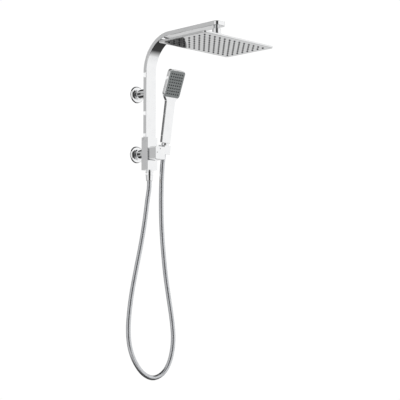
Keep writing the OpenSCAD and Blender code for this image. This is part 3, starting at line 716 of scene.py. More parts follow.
# ---------------------------------------------------------------------------------------------
# Diverter block: cast brass, milled square and plated, with a slot across its top for the riser
# and the outlet nipple under it.
finished_copy("diverter_block", "diverter_body", 0.5 * mm)
finished_copy("outlet_nipple", "hose_outlet", 0.3 * mm)


# ---------------------------------------------------------------------------------------------
# Knob: die-cast and plated, rounded at the back, crisp at the front; a grub screw under it grips
# the spindle. Two printed marks show which outlet is on.
knob_low, knob_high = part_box("knob")
knob_w = knob_high.x - knob_low.x
knob_middle = (knob_low + knob_high) / 2
knob_front = knob_low.y
knob_back = knob_high.y
knob_corner = 4.5 * mm
knob_rear_round = 8.0 * mm
knob_front_round = 1.1 * mm
knob_cave_r = 15 * mm
knob_cave_d = 4 * mm


def eased(radius, steps=6):
    """A rounded edge as pairs (distance in, distance short of the end), from side to end."""
    turns = [math.radians(90 * k / steps) for k in range(steps + 1)]
    return [(radius * (1 - math.cos(a)), radius * (1 - math.sin(a))) for a in turns]


def solid(bm, rings):
    """A closed skin through rings of equally many points, with flat ends."""
    loops = [[bm.verts.new(p) for p in ring] for ring in rings]
    skin(bm, loops)
    bm.faces.new(list(reversed(loops[0])))
    bm.faces.new(loops[-1])


def loft(name, rings, smooth=35):
    bm = bmesh.new()
    solid(bm, rings)
    finish_surface(bm)
    return new_piece(name, bm, smooth)


def knob_ring(inset, y):
    corner = max(knob_corner - inset * 0.4, 1.2 * mm)
    shape = rounded_outline(knob_w - 2 * inset, knob_w - 2 * inset, corner, steps=10)
    return [Vector((knob_middle.x + x, y, knob_middle.z + z)) for x, z in shape]


def cave_ring(radius, y):
    """Points on a circle, one for each point of the knob's outline."""
    shape = rounded_outline(knob_w, knob_w, knob_corner, steps=10)
    return [Vector((knob_middle.x + radius * x / math.hypot(x, z), y,
                    knob_middle.z + radius * z / math.hypot(x, z))) for x, z in shape]


def knob_mesh():
    rings = [cave_ring(knob_cave_r, knob_back - knob_cave_d), cave_ring(knob_cave_r, knob_back - 0.4 * mm),
             cave_ring(knob_cave_r + 0.4 * mm, knob_back), knob_ring(knob_rear_round, knob_back)]
    rings += [knob_ring(short, knob_back - side) for side, short in eased(knob_rear_round, 10)[1:]]
    rings.append(knob_ring(0, knob_front + knob_front_round + 0.5 * mm))
    rings += [knob_ring(side, knob_front + short) for side, short in eased(knob_front_round)]
    rings.append(knob_ring(knob_front_round + 0.5 * mm, knob_front))
    return loft("square_knob", rings, 40)


knob = dress(weighted(knob_mesh()), "knob", "diverter")


# Two plain marks printed on the knob's front: one for the rain head, one for the hand shower.
mark_size = 4.8 * mm
mark_proud = 0.03 * mm
print_ink = surface("printed_ink", (0.03, 0.03, 0.035), (0.06, 0.06, 0.065), 0.45, 0.1, 0.05, 2e-6)


def print_mark(name, x, z, dots, turn):
    """A bar with drops beside it, standing a hair above the knob."""
    bm = bmesh.new()
    shapes = [[(-0.5, 0.5), (0.5, 0.5), (0.4, 0.2), (-0.4, 0.2)]]
    shapes += [[(c - 0.08, r), (c + 0.08, r), (c + 0.08, r - 0.22), (c - 0.08, r - 0.22)] for c, r in dots]
    centre = Vector((knob_middle.x + x, knob_front - mark_proud, knob_middle.z + z))
    a = math.radians(turn)
    for shape in shapes:
        points = [(u * math.cos(a) - v * math.sin(a), u * math.sin(a) + v * math.cos(a)) for u, v in shape]
        front = [bm.verts.new(centre + Vector((u * mark_size, 0, v * mark_size))) for u, v in points]
        rear = [bm.verts.new(v.co + Vector((0, 2 * mark_proud, 0))) for v in front]
        bm.faces.new(front)
        bm.faces.new(list(reversed(rear)))
        for k in range(len(front)):
            k2 = (k + 1) % len(front)
            bm.faces.new((front[k2], front[k], rear[k], rear[k2]))
    bmesh.ops.recalc_face_normals(bm, faces=bm.faces)
    mark = new_piece(name, bm, 30)
    mark.data.materials.append(print_ink)
    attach(mark, "diverter")


print_mark("rain_mark", 0, 12.4 * mm, [(-0.3, 0.1), (0.0, 0.1), (0.3, 0.1), (-0.15, -0.2), (0.15, -0.2)], 0)
print_mark("hand_mark", -12.6 * mm, 1.0 * mm, [(-0.2, 0.1), (0.2, 0.1), (0.0, -0.2)], 90)


# ---------------------------------------------------------------------------------------------
# Grub screws: black steel with a hex socket, one in each sleeve and one under the knob.
black_steel = surface("blackened_steel", (0.10, 0.10, 0.105), (0.06, 0.06, 0.06), 0.34, 0.15, 0.1, 4e-6,
                      metallic=1.0)
socket_across = 0.55      # share of the screw's width
socket_deep = 1.0 * mm
screw_points = 36


def grub_screw(foot, axis, r, length):
    """Rings of one screw, from the bottom of its hex socket round to its far end."""
    up = Vector(axis)
    side = up.orthogonal().normalized()
    other = up.cross(side)

    def ring(h, radius, hexed=False):
        out = []
        for k in range(screw_points):
            a = 2 * math.pi * k / screw_points
            reach = radius
            if hexed:
                off_flat = (a + math.pi / 6) % (math.pi / 3) - math.pi / 6
                reach = radius * math.cos(math.pi / 6) / math.cos(off_flat)
            out.append(Vector(foot) + up * h + reach * (math.cos(a) * side + math.sin(a) * other))
        return out

    key = r * socket_across
    return [ring(socket_deep, key, True), ring(0.1 * mm, key, True), ring(0, key + 0.1 * mm, True),
            ring(0, r - 0.35 * mm), ring(0.35 * mm, r), ring(length - 0.3 * mm, r),
            ring(length, r - 0.3 * mm)]


def carved(piece, cutter):
    """Cuts the cutter out of the piece for good."""
    modifier = piece.modifiers.new("cut", "BOOLEAN")
    modifier.operation = "DIFFERENCE"
    modifier.solver = "EXACT"
    modifier.object = cutter
    bpy.context.view_layer.update()
    mesh = bpy.data.meshes.new_from_object(piece.evaluated_get(bpy.context.evaluated_depsgraph_get()))
    piece.modifiers.clear()
    piece.data = mesh
    bpy.data.objects.remove(cutter)
    mesh.shade_smooth()
    mesh.set_sharp_from_angle(angle=math.radians(40))
    return piece


def screws_piece(name, node, starts, axis, body):
    bm = bmesh.new()
    for foot, r, length in starts:
        solid(bm, grub_screw(foot, axis, r, length))
    finish_surface(bm)
    dress(new_piece(name, bm, 30), node, body, black_steel)


grub_low, grub_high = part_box("grub_screws")
grub_r = (grub_high.y - grub_low.y) / 2
grub_y = (grub_high.y + grub_low.y) / 2
sleeve_low, sleeve_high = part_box("bracket_sleeve")
bracket_z = sleeve_low.z + (sleeve_high.z - sleeve_low.z) / 2
grub_len = grub_high.z - (bracket_z + grub_low.z)
screws_piece("sleeve_screws", "grub_screws",
             [((0, grub_y, z + grub_low.z), grub_r, grub_len) for z in (0, bracket_z)], (0, 0, 1), "root")
key_low, key_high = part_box("knob_screw")
key_y = (key_low.y + key_high.y) / 2
key_r = (key_high.x - key_low.x) / 2
key_hole_r = key_r + 0.1 * mm
key_hole = loft("key_hole", [[Vector((key_hole_r * math.cos(a), key_y + key_hole_r * math.sin(a), z))
                              for a in (2 * math.pi * k / screw_points for k in range(screw_points))]
                             for z in (knob_low.z - 2 * mm, key_high.z + 0.5 * mm)])
carved(knob, key_hole)
screws_piece("knob_grub", "knob_screw", [((0, key_y, key_low.z), key_r, key_high.z - key_low.z)],
             (0, 0, 1), "diverter")


# ---------------------------------------------------------------------------------------------
# Wall connections: two plated sleeves, pressed domed covers that slide along them to the wall,
# and the threaded brass inlet and steel hanger bolt that go into the wall.
brass = surface("turned_brass", (0.72, 0.53, 0.24), (0.60, 0.42, 0.18), 0.20, 0.12, 0.05, 5e-6,
                metallic=1.0)
zinc = surface("zinc_plate", (0.62, 0.62, 0.60), (0.52, 0.52, 0.49), 0.30, 0.12, 0.08, 5e-6,
               metallic=1.0)
cover_steps = 20
cover_edge = 0.6 * mm
finished_copy("inlet_sleeve", "lower_sleeve", 0.2 * mm)
finished_copy("bracket_sleeve", "upper_sleeve", 0.2 * mm)


def domed_cover(name, node):
    low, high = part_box(node)
    outer = (high.x - low.x) / 2
    rise = high.y - low.y
    inner = outer - rise
    wall = 1.2 * mm
    outline = [(inner, rise - wall), (inner, rise - cover_edge)]
    outline += arc(inner + cover_edge, rise - cover_edge, cover_edge, 180, 95, 4)
    outline += arc(inner, 0, rise, 86, 1, cover_steps)
    outline += [(outer - 0.1 * mm, 0), (outer - wall, 0)]
    outline += arc(inner, 0, rise - wall, 3, 87, cover_steps)
    dress(lathe(name, outline, (0, 0, (low.z + high.z) / 2), (0, -1, 0), smooth=40), node)


domed_cover("lower_wall_cover", "inlet_cover")
domed_cover("upper_wall_cover", "bracket_cover")


# Threads are one ridge wound round a core: a spiral of given pitch with a pointed section.
def geometry_tree(name, **inputs):
    tree = bpy.data.node_groups.new(name, "GeometryNodeTree")
    tree.interface.new_socket("Geometry", in_out="INPUT", socket_type="NodeSocketGeometry")
    for label, kind in (*inputs.items(), ("Finish", "Material")):
        tree.interface.new_socket(label.replace("_", " "), in_out="INPUT", socket_type="NodeSocket" + kind)
    tree.interface.new_socket("Geometry", in_out="OUTPUT", socket_type="NodeSocketGeometry")
    return tree, tree.nodes.new("NodeGroupInput").outputs


def coated_result(tree, geometry, finish):
    """Makes the geometry real, gives it the finish and hands it out of the tree."""
    whole = add(tree, "GeometryNodeRealizeInstances", Geometry=geometry).outputs["Geometry"]
    coat = add(tree, "GeometryNodeSetMaterial", Geometry=whole, Material=finish)
    add(tree, "NodeGroupOutput", Geometry=coat.outputs["Geometry"])
    return tree


def thread_tree():
    tree, given = geometry_tree("wound_thread", Turns="Float", Core_Radius="Float", Ridge="Float",
                                Length="Float")
    core = given["Core Radius"]
    spiral = add(tree, "GeometryNodeCurveSpiral", Resolution=40, Rotations=given["Turns"],
                 Start_Radius=core, End_Radius=core, Height=given["Length"])
    level = add(tree, "GeometryNodeSetCurveNormal", mode="Z_UP", Curve=spiral.outputs["Curve"])
    ridge = add(tree, "GeometryNodeCurvePrimitiveCircle", Resolution=4, Radius=given["Ridge"])
    sweep = add(tree, "GeometryNodeCurveToMesh", Fill_Caps=True, Curve=level.outputs["Curve"],
                Profile_Curve=ridge.outputs["Curve"])
    both = add(tree, "GeometryNodeJoinGeometry", Geometry=sweep.outputs["Mesh"])
    tree.links.new(given["Geometry"], both.inputs["Geometry"])
    return coated_result(tree, both.outputs["Geometry"], given["Finish"])


def grown(piece, tree, values, place=None, smooth=35):
    """Runs the tree on the piece, keeps the result as a plain mesh and puts it in place."""
    modifier = piece.modifiers.new("grown", "NODES")
    modifier.node_group = tree
    for item in tree.interface.items_tree:
        if item.item_type == "SOCKET" and item.in_out == "INPUT" and item.name in values:
            modifier[item.identifier] = values[item.name]
    piece.update_tag()
    bpy.context.view_layer.update()
    evaluated = piece.evaluated_get(bpy.context.evaluated_depsgraph_get())
    mesh = bpy.data.meshes.new_from_object(evaluated)
    piece.modifiers.clear()
    mesh.name = piece.name
    piece.data = mesh
    if place is not None:
        mesh.transform(place)
    bm = bmesh.new()
    bm.from_mesh(mesh)
    bmesh.ops.recalc_face_normals(bm, faces=bm.faces)
    bm.to_mesh(mesh)
    bm.free()
    mesh.shade_smooth()
    mesh.set_sharp_from_angle(angle=math.radians(smooth))
    return piece


wound_thread = thread_tree()


def upright_to(foot, axis):
    """The move that takes a piece built on +Z at the origin to an axis through foot."""
    turn = Vector((0, 0, 1)).rotation_difference(Vector(axis)).to_matrix().to_4x4()
    return Matrix.Translation(Vector(foot)) @ turn


core_segments = 64


def threaded(name, node, outline, r, pitch, depth, start, length, foot, axis, finish):
    """A turned core with a wound thread of major radius r from start over a length."""
    core = lathe(name, [(a, h - start) for a, h in outline], (0, 0, 0), (0, 0, 1), core_segments)
    piece = grown(core, wound_thread, {
        "Turns": (length - 2 * depth) / pitch, "Core Radius": r - depth, "Ridge": depth,
        "Length": length - 2 * depth, "Finish": finish,
    }, upright_to(Vector(foot) + Vector(axis) * start, axis))
    dress(piece, node, finish=None)


pipe_pitch = 1.814 * mm
pipe_depth = 1.16 * mm
pipe_r = 10.4775 * mm
inlet_low, inlet_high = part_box("inlet_tube")
inlet_back = inlet_high.y
inlet_bore = 6.5 * mm
inlet_body = 12.8 * mm
inlet_foot = -inlet_low.y + inlet_back
block_back = -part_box("diverter_block")[1].y + inlet_back
inlet_outline = [
    (inlet_bore, 0), (pipe_r - pipe_depth - 0.4 * mm, 0), (pipe_r - pipe_depth, 0.6 * mm),
    (pipe_r - pipe_depth, inlet_back), (pipe_r - 0.5 * mm, inlet_back),
    (pipe_r - 0.5 * mm, inlet_back + 2 * mm), (inlet_body - 0.3 * mm, inlet_back + 2 * mm),
    (inlet_body, inlet_back + 2.3 * mm), (inlet_body, block_back),
    (9 * mm, block_back), (9 * mm, inlet_foot), (inlet_bore, inlet_foot),
]
threaded("inlet_pipe", "inlet_tube", inlet_outline, pipe_r, pipe_pitch, pipe_depth, pipe_depth, inlet_back,
         (0, inlet_back, 0), (0, -1, 0), brass)

bolt_low, bolt_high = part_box("hanger_bolt")
bolt_r = (bolt_high.x - bolt_low.x) / 2
bolt_back = bolt_high.y
bolt_end = bolt_back - bolt_low.y
bolt_depth = 0.9 * mm
bolt_pitch = 3.2 * mm
bolt_front_r = 3.5 * mm
bolt_outline = [
    (0.0, 0.3 * mm), (0.4 * mm, 0.2 * mm), (bolt_r - bolt_depth, 7 * mm),
    (bolt_r - bolt_depth, bolt_back - 9 * mm), (bolt_r, bolt_back - 8 * mm), (bolt_r, bolt_back),
    (bolt_front_r, bolt_back), (bolt_front_r, bolt_end - 0.5 * mm), (bolt_front_r - 0.5 * mm, bolt_end),
    (0.0, bolt_end),
]
threaded("wall_bolt", "hanger_bolt", bolt_outline, bolt_r, bolt_pitch, bolt_depth, 3.5 * mm,
         bolt_back - 12 * mm, (0, bolt_back, bracket_z), (0, -1, 0), zinc)


# ---------------------------------------------------------------------------------------------
# Swivel: a threaded nipple brazed under the arm, a turned connector with the ball on its neck,
# and the cup and knurled ring nut that hold the ball on the head. All plated brass.
ball_low, ball_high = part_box("swivel_ball")
swivel_x = (ball_low.x + ball_high.x) / 2
swivel_y = (ball_low.y + ball_high.y) / 2
ball_z = joints["head_turn"]["pos_m"][2]
ball_r = ball_z - ball_low.z
connector_r = (ball_high.x - ball_low.x) / 2
connector_top = ball_high.z
neck_r = 5.5 * mm
ball_bore = 4.0 * mm
connector_low = ball_z + ball_r + 4 * mm
chamfer = 0.8 * mm

ball_outline = [(ball_bore, -math.sqrt(ball_r**2 - ball_bore**2))]
ball_from = -math.degrees(math.acos(ball_bore / ball_r))
ball_to = math.degrees(math.acos(neck_r / ball_r))
ball_outline += arc(0, 0, ball_r, ball_from, ball_to, 28)
step_up = connector_low - ball_z
step_top = connector_top - ball_z
ball_outline += [(neck_r, step_up - 0.5 * mm), (neck_r + 0.5 * mm, step_up), (connector_r - chamfer, step_up),
                 (connector_r, step_up + chamfer), (connector_r, step_top - 4.4 * mm),
                 (connector_r - 0.35 * mm, step_top - 4.2 * mm),
                 (connector_r - 0.35 * mm, step_top - 3.8 * mm),
                 (connector_r, step_top - 3.6 * mm), (connector_r, step_top - chamfer),
                 (connector_r - chamfer, step_top), (10.6 * mm, step_top), (9.4 * mm, step_top - 1.2 * mm),
                 (9.4 * mm, step_top - 13 * mm), (ball_bore, step_top - 13 * mm)]
dress(lathe("ball_connector", ball_outline, (swivel_x, swivel_y, ball_z), (0, 0, 1), smooth=30),
      "swivel_ball")

nipple_low, nipple_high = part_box("arm_nipple")
nipple_len = nipple_high.z - nipple_low.z
nipple_r = (nipple_high.x - nipple_low.x) / 2
nipple_outline = [(6 * mm, 0), (nipple_r - pipe_depth - 0.3 * mm, 0), (nipple_r - pipe_depth, 0.4 * mm),
                  (nipple_r - pipe_depth, nipple_len), (6 * mm, nipple_len)]
threaded("arm_thread", "arm_nipple", nipple_outline, nipple_r, pipe_pitch, pipe_depth, pipe_depth,
         nipple_len - 2.6 * mm, (swivel_x, swivel_y, nipple_low.z), (0, 0, 1), chrome)


def knurled_nut(name, outline, foot, knurl_from, knurl_to, teeth=60, depth=0.22 * mm):
    """A turned ring whose band between two heights carries straight knurling."""
    bm = bmesh.new()
    count = teeth * 4
    widest = max(r for r, h in outline)
    rings = []
    for r, h in outline:
        cut_here = knurl_from < h < knurl_to and r > widest - 0.1 * mm
        ring = []
        for k in range(count):
            a = 2 * math.pi * k / count
            cut = depth if cut_here and k % 4 in (0, 1) else 0
            out = Vector(((r - cut) * math.cos(a), (r - cut) * math.sin(a), h))
            ring.append(bm.verts.new(Vector(foot) + out))
        rings.append(ring)
    skin(bm, rings + rings[:1])
    finish_surface(bm)
    return new_piece(name, bm, 25)


ring_low, ring_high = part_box("ball_nut")
cup_low, cup_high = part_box("head_socket")
cup_r = (cup_high.x - cup_low.x) / 2
ring_r = (ring_high.x - ring_low.x) / 2
ring_h = ring_high.z - ring_low.z
hollow_r = cup_r - 2.7 * mm
open_r = 9.4 * mm
open_h = ball_z + math.sqrt(hollow_r**2 - open_r**2) - ring_low.z
ring_outline = [(cup_r + 0.1 * mm, 0), (ring_r - 0.5 * mm, 0), (ring_r, 0.5 * mm), (ring_r, 2.2 * mm),
                (ring_r, 2.4 * mm), (ring_r, ring_h - 6.2 * mm), (ring_r, ring_h - 6.0 * mm),
                (ring_r, ring_h - 4.4 * mm)]
ring_outline += arc(ring_r - 4.0 * mm, ring_h - 4.0 * mm, 4.0 * mm, 0, 84, 8)
ring_outline += [(10.2 * mm, ring_h), (9.9 * mm, ring_h - 0.3 * mm), (open_r, open_h)]
ring_outline += on_circle(0, ball_z - ring_low.z, hollow_r, (30, 18, 8))
ring_outline += [(cup_r + 0.1 * mm, ball_z - ring_low.z)]
dress(knurled_nut("ball_ring_nut", ring_outline, (swivel_x, swivel_y, ring_low.z), 2.3 * mm,
                  ring_h - 6.1 * mm), "ball_nut", "head")
cup_outline = [(4 * mm, 0), (cup_r - 0.3 * mm, 0), (cup_r, 0.3 * mm), (cup_r, cup_high.z - cup_low.z)]
cup_outline += on_circle(0, ball_z - cup_low.z, hollow_r, (0, -15, -30, -45, -60, -68))
dress(lathe("ball_cup", cup_outline, (swivel_x, swivel_y, cup_low.z), (0, 0, 1), smooth=30),
      "head_socket", "head")


# ---------------------------------------------------------------------------------------------
# Rain head: two thin stainless sheets, the upper one folded down round the rim, polished to a
# mirror, with a silicone nozzle pressed through every hole of the lower sheet.
steel = surface("polished_steel", (0.83, 0.835, 0.84), (0.78, 0.785, 0.79), 0.045, 0.05, 0.03, 2e-6,
                metallic=1.0)
silicone = surface("nozzle_silicone", (0.016, 0.017, 0.019), (0.028, 0.029, 0.032), 0.48, 0.1, 0.1, 1e-5,
                   ior=1.41)
silicone.node_tree.nodes["Principled BSDF"].inputs["Specular IOR Level"].default_value = 0.12
head_low, head_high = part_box("head_shell")
head_w = head_high.x - head_low.x
head_d = head_high.y - head_low.y
head_top = head_high.z
head_bottom = head_low.z
head_corner = 10 * mm
sheet_t = 1.2 * mm
fold_r = 0.9 * mm
roll_r = 1.1 * mm
spray_nx, spray_ny, spray_pitch = 13, 8, 21 * mm
spray_root, spray_tip, spray_drop = 3.0 * mm, 2.7 * mm, 1.8 * mm


def head_sheet(name, levels):
    """A sheet of the head through (inset, height) levels of its outline."""
    rings = []
    for inset, z in levels:
        corner = max(head_corner - inset, 0.5 * mm)
        shape = rounded_outline(head_w - 2 * inset, head_d - 2 * inset, corner, 12)
        rings.append([Vector((swivel_x + x, swivel_y + y, z)) for x, y in shape])
    return weighted(loft(name, rings, 40))


shell_levels = [(sheet_t, head_bottom + 1.5 * mm), (sheet_t, head_bottom + 0.1 * mm)]
shell_levels += [(short, head_bottom + side) for side, short in eased(roll_r)]
shell_levels += [(0, head_top - fold_r - 0.3 * mm)]
shell_levels += [(side, head_top - short) for side, short in eased(fold_r)]
shell_levels += [(fold_r + 0.5 * mm, head_top)]
plate_inset = sheet_t + 0.12 * mm
plate_levels = [(plate_inset + 0.3 * mm, head_bottom + 1.2 * mm), (plate_inset, head_bottom + 0.9 * mm),
                (plate_inset, head_bottom + 0.4 * mm), (plate_inset + 0.12 * mm, head_bottom + 0.14 * mm),
                (plate_inset + 0.4 * mm, head_bottom + 0.02 * mm),
                (plate_inset + 0.9 * mm, head_bottom + 0.02 * mm)]
for name, levels, node in (("folded_top_sheet", shell_levels, "head_shell"),
                           ("perforated_sheet", plate_levels, "spray_plate")):
    dress(head_sheet(name, levels), node, "head", steel)


def grid_tree():
    """Repeats the given nozzle on a flat grid of so many by so many, a pitch apart."""
    tree, given = geometry_tree("nozzle_rows", Across="Int", Along="Int", Width="Float", Depth="Float")
    rows = add(tree, "GeometryNodeMeshGrid", Size_X=given["Width"], Size_Y=given["Depth"],
               Vertices_X=given["Across"], Vertices_Y=given["Along"])
    place = add(tree, "GeometryNodeInstanceOnPoints", Points=rows.outputs["Mesh"], Instance=given["Geometry"])
    return coated_result(tree, place.outputs["Instances"], given["Finish"])


nozzle_rows = grid_tree()


def nozzle_grid(name, outline, segments, across, along, pitch, place, body, node):
    unit = lathe(name, outline, (0, 0, 0), (0, 0, 1), segments)
    piece = grown(unit, nozzle_rows, {
        "Across": across, "Along": along, "Width": (across - 1) * pitch, "Depth": (along - 1) * pitch,
        "Finish": silicone}, place, 50)
    dress(piece, node, body, None)


def nozzle_outline(root, tip, reach, hole):
    """From the middle of the hole round the soft lip and down the cone to a small flange."""
    flange = 0.25 * mm
    return [(0, -reach + hole), (hole, -reach + hole), (hole, -reach + 0.15 * mm), (hole + 0.15 * mm, -reach),
            (tip - 0.35 * mm, -reach), (tip, -reach + 0.35 * mm), (root - 0.45 * mm, -flange),
            (root, -0.3 * flange), (root, 0.8 * mm), (0, 0.8 * mm)]


nozzle_grid("rain_nozzles", nozzle_outline(spray_root, spray_tip, spray_drop, 0.6 * mm), 20,
            spray_nx, spray_ny, spray_pitch, Matrix.Translation((swivel_x, swivel_y, head_bottom)),
            "head", "nozzle_mat")


# ---------------------------------------------------------------------------------------------
# Cradle: a cast ring with a slot for the hose, plated, on a stud in the block's side, and a
# moulded liner that keeps the nut from the metal.
acetal = surface("white_acetal", (0.78, 0.78, 0.76), (0.70, 0.70, 0.68), 0.40, 0.08, 0.05, 6e-6)
finished_copy("cradle", "cradle_ring", 0.6 * mm)
finished_copy("cradle_liner", "moulded_liner", 0.15 * mm, finish=acetal)


# ---------------------------------------------------------------------------------------------
# Hand shower: two plated mouldings clipped along the middle, a straight handle that widens into
# the tilted spray head, a grey face let into its front, and silicone nozzles.
hand_w = 36.5 * mm
hand_t = 11.5 * mm
hand_from = 32 * mm
hand_len = 147 * mm
head_across = 69 * mm
head_up = 90 * mm
head_rim = 2.0 * mm
head_overlap = 3.5 * mm
head_round = 9 * mm
face_turn = math.radians(11.5)
bend_half = 3.0 * mm
back_round = 2.6 * mm
front_round = 1.2 * mm
seam = 0.14 * mm
hand_side = Vector((1, 0, 0))
hand_out = hand_side.cross(held_axis).normalized()
if hand_out.y > 0:
    hand_out = -hand_out


def filleted(points, radii, step=math.radians(9)):
    """An open line of (x, s) points with its inner corners rounded."""
    line = [Vector(points[0])]
    for i in range(1, len(points) - 1):
        p, a, b = Vector(points[i]), Vector(points[i - 1]), Vector(points[i + 1])
        u, w = (a - p).normalized(), (b - p).normalized()
        half = u.angle(w) / 2
        back_off = radii[i] / math.tan(half)
        centre = p + (u + w).normalized() * radii[i] / math.sin(half)
        start, end = p + u * back_off - centre, p + w * back_off - centre
        sweep = start.angle_signed(end)
        count = max(2, int(abs(sweep) / step))
        for k in range(count + 1):
            turn = Matrix.Rotation(-sweep * k / count, 2)
            line.append(centre + turn @ start)
    line.append(Vector(points[-1]))
    return line


def denser(line, low, high, fine, coarse):
    out = [line[0]]
    for p, q in zip(line, line[1:]):
        inside = min(p[1], q[1]) < high and max(p[1], q[1]) > low
        count = max(1, math.ceil((q - p).length / (fine if inside else coarse)))
        out += [p.lerp(q, k / count) for k in range(1, count + 1)]
    return out


hand_top = hand_len + head_up - head_overlap
right_side = filleted(
    [(0, 0), (hand_w / 2, 0), (hand_w / 2, hand_len - 14 * mm), (head_across / 2, hand_len + 6.5 * mm),
     (head_across / 2, hand_top), (0, hand_top)],
    [0, 2.0 * mm, 10 * mm, 12 * mm, head_round, 0])
right_side = denser(right_side, hand_len - 8 * mm, hand_len + 8 * mm, 0.9 * mm, 9 * mm)
right_side = [p for i, p in enumerate(right_side) if i == 0 or (p - right_side[i - 1]).length > 1e-5]


def bent(x, out, s):
    """A point of the hand shower: s along it, out towards the spray, past the bend turned outwards."""
    turned = min(max((s - (hand_len - bend_half)) / (2 * bend_half), 0), 1) * face_turn
    place = Vector((0, 0, min(s, hand_len - bend_half)))
    if s > hand_len - bend_half:
        steps = 12
        reach = min(s, hand_len + bend_half) - (hand_len - bend_half)
        for k in range(steps):
            a = face_turn * (k + 0.5) / steps * reach / (2 * bend_half)
            place += Vector((0, math.sin(a), math.cos(a))) * reach / steps
    if s > hand_len + bend_half:
        place += Vector((0, math.sin(face_turn), math.cos(face_turn))) * (s - hand_len - bend_half)
    place += Vector((0, math.cos(turned), -math.sin(turned))) * (out - hand_t / 2)
    out_total = place.y + hand_t / 2
    return held_foot + hand_side * x + hand_out * out_total + held_axis * (hand_from + place.z)


def offset_side(line, inset):
    """The right side moved in by a distance; its ends stay on the middle line."""
    out = []
    for i, p in enumerate(line):
        a = line[max(i - 1, 0)]
        b = line[min(i + 1, len(line) - 1)]
        if i == 0:
            out.append(Vector((0, p[1] + inset)))
            continue
        if i == len(line) - 1:
            out.append(Vector((0, p[1] - inset)))
            continue
        u, w = (p - a).normalized(), (b - p).normalized()
        n = Vector((u[1] + w[1], -(u[0] + w[0]))).normalized()
        miter = 1 / max(n.dot(Vector((u[1], -u[0]))), 0.5)
        out.append(p - n * inset * miter)
    return out


def hand_shell(name, levels):
    """A closed moulding between two flat sides; levels are (distance out, inset)."""
    bm = bmesh.new()
    chains = []
    for out, inset in levels:
        side = offset_side(right_side, inset)
        right = [bm.verts.new(bent(x, out, s)) for x, s in side]
        left = [right[0]] + [bm.verts.new(bent(-x, out, s)) for x, s in side[1:-1]] + [right[-1]]
        chains.append((right, left))
    for (r1, l1), (r2, l2) in zip(chains, chains[1:]):
        for k in range(len(r1) - 1):
            bm.faces.new((r1[k], r1[k + 1], r2[k + 1], r2[k]))
            bm.faces.new((l1[k + 1], l1[k], l2[k], l2[k + 1]))
    for right, left in (chains[0], chains[-1]):
        for k in range(len(right) - 1):
            corners = [right[k], right[k + 1], left[k + 1], left[k]]
            corners = [c for i, c in enumerate(corners) if c not in corners[:i]]
            if len(corners) > 2:
                bm.faces.new(corners)
    finish_surface(bm)
    return new_piece(name, bm, 40)


back_levels = [(short - hand_t / 2, side) for side, short in reversed(eased(back_round, 8))]
back_levels += [(-0.6 * mm, 0), (-seam, 0), (-0.02 * mm, seam)]
front_levels = [(0.02 * mm, seam), (seam, 0), (0.6 * mm, 0)]
front_levels += [(hand_t / 2 - short, side) for side, short in eased(front_round)]
hand_back = hand_shell("hand_back_moulding", back_levels)
hand_front = hand_shell("hand_front_moulding", front_levels)


def face_ring(inset, out):
    """Points round the grey face's outline, in the tilted spray head."""
    w, h = head_across - 2 * head_rim - 2 * inset, head_up - 2 * head_rim - 2 * inset
    shape = rounded_outline(w, h, head_round - head_rim - inset, 10)
    middle = hand_len + head_up / 2 - head_overlap
    return [bent(x, out, middle + s) for x, s in shape]


pocket = loft("pocket", [face_ring(0, hand_t / 2 - 1.6 * mm), face_ring(0, hand_t / 2 + 2 * mm)])
hand_front = carved(hand_front, pocket)
dress(weighted(hand_back), "handset_back", "handset")
dress(weighted(hand_front), "handset_front", "handset")

grey = surface("grey_moulding", (0.172, 0.186, 0.186), (0.196, 0.21, 0.21), 0.36, 0.1, 0.06, 1e-5)
face_levels = [(0.15 * mm, hand_t / 2 - 1.5 * mm), (0.15 * mm, hand_t / 2 - 0.5 * mm),
               (0.25 * mm, hand_t / 2 - 0.2 * mm), (0.5 * mm, hand_t / 2 - 0.04 * mm), (1.1 * mm, hand_t / 2)]
spray_face = weighted(loft("grey_face", [face_ring(i, o) for i, o in face_levels], 40))
dress(spray_face, "handset_face", "handset", grey)

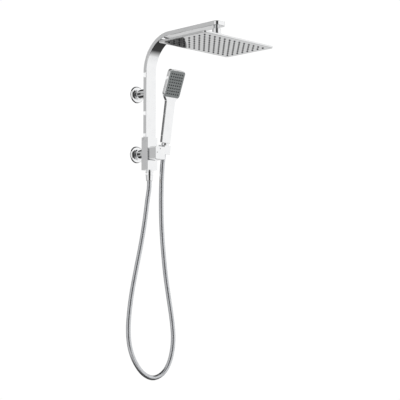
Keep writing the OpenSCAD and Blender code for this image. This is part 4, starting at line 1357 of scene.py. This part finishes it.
hand_nozzle_pitch = 9.2 * mm
face_middle = bent(0, hand_t / 2, hand_len + head_up / 2 - head_overlap)
face_up = (bent(0, hand_t / 2, hand_len + head_up - 10 * mm) - face_middle).normalized()
face_normal = hand_side.cross(face_up).normalized()
face_frame = Matrix.Translation(face_middle) @ Matrix((hand_side, face_up, face_normal)).transposed().to_4x4()
if face_normal.dot(hand_out) > 0:
    face_frame = face_frame @ Matrix.Rotation(math.pi, 4, "Y")
nozzle_grid("hand_nozzles", nozzle_outline(2.35 * mm, 2.05 * mm, 1.2 * mm, 0.5 * mm), 14, 6, 8,
            hand_nozzle_pitch, face_frame, "handset", "handset_nozzles")


# ---------------------------------------------------------------------------------------------
# Inside pieces: the cartridge with its ceramic discs and spindle, seals, filters, the check
# valve, ball seats, spacers, clips and water tubes stay as packed, each in its own finish.
rubber = surface("black_rubber", (0.035, 0.035, 0.037), (0.055, 0.055, 0.057), 0.55, 0.1, 0.1, 1e-5)
ceramic = surface("ceramic", (0.80, 0.78, 0.73), (0.74, 0.71, 0.66), 0.12, 0.05, 0.03, 3e-6)
inside = [
    (brass, "brass", ["riser_spigot", "riser_boss", "cartridge_nut", "spindle", "bracket_core", "cradle_stud",
                      "hose_ferrules", "upper_ferrule"]),
    (rubber, "black_rubber", ["spigot_seals", "swivel_seal", "spindle_seal", "inlet_seal", "inlet_washer",
                              "lower_washer", "upper_washer"]),
    (acetal, "seat_plastic", ["lower_ball_seat", "upper_ball_seat", "cartridge_housing", "check_valve",
                              "handset_tube", "flow_limiter", "handset_clips", "head_filter",
                              "inlet_filter"]),
    (ceramic, "ceramic", ["fixed_disc", "moving_disc"]),
    (chrome, "chrome", ["handset_spigot"]),
    (steel, "polished_steel", ["head_rivets"]),
]
for finish, slot_name, names in inside:
    for node_name in names:
        nodes[node_name].data.materials.clear()
        nodes[node_name].data.materials.append(finish)


# ---------------------------------------------------------------------------------------------
# The studio is lit so that the pieces in front don't show as dark shapes in the flat mirrors
# behind them, as with a polarised lamp: they are left out of the reflections.
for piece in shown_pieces():
    bodies = set(body_of(piece) or [])
    if bodies & {"handset", "hose_end", "lower_seat"} or piece.name == "lower_hose_nut":
        piece.visible_glossy = False
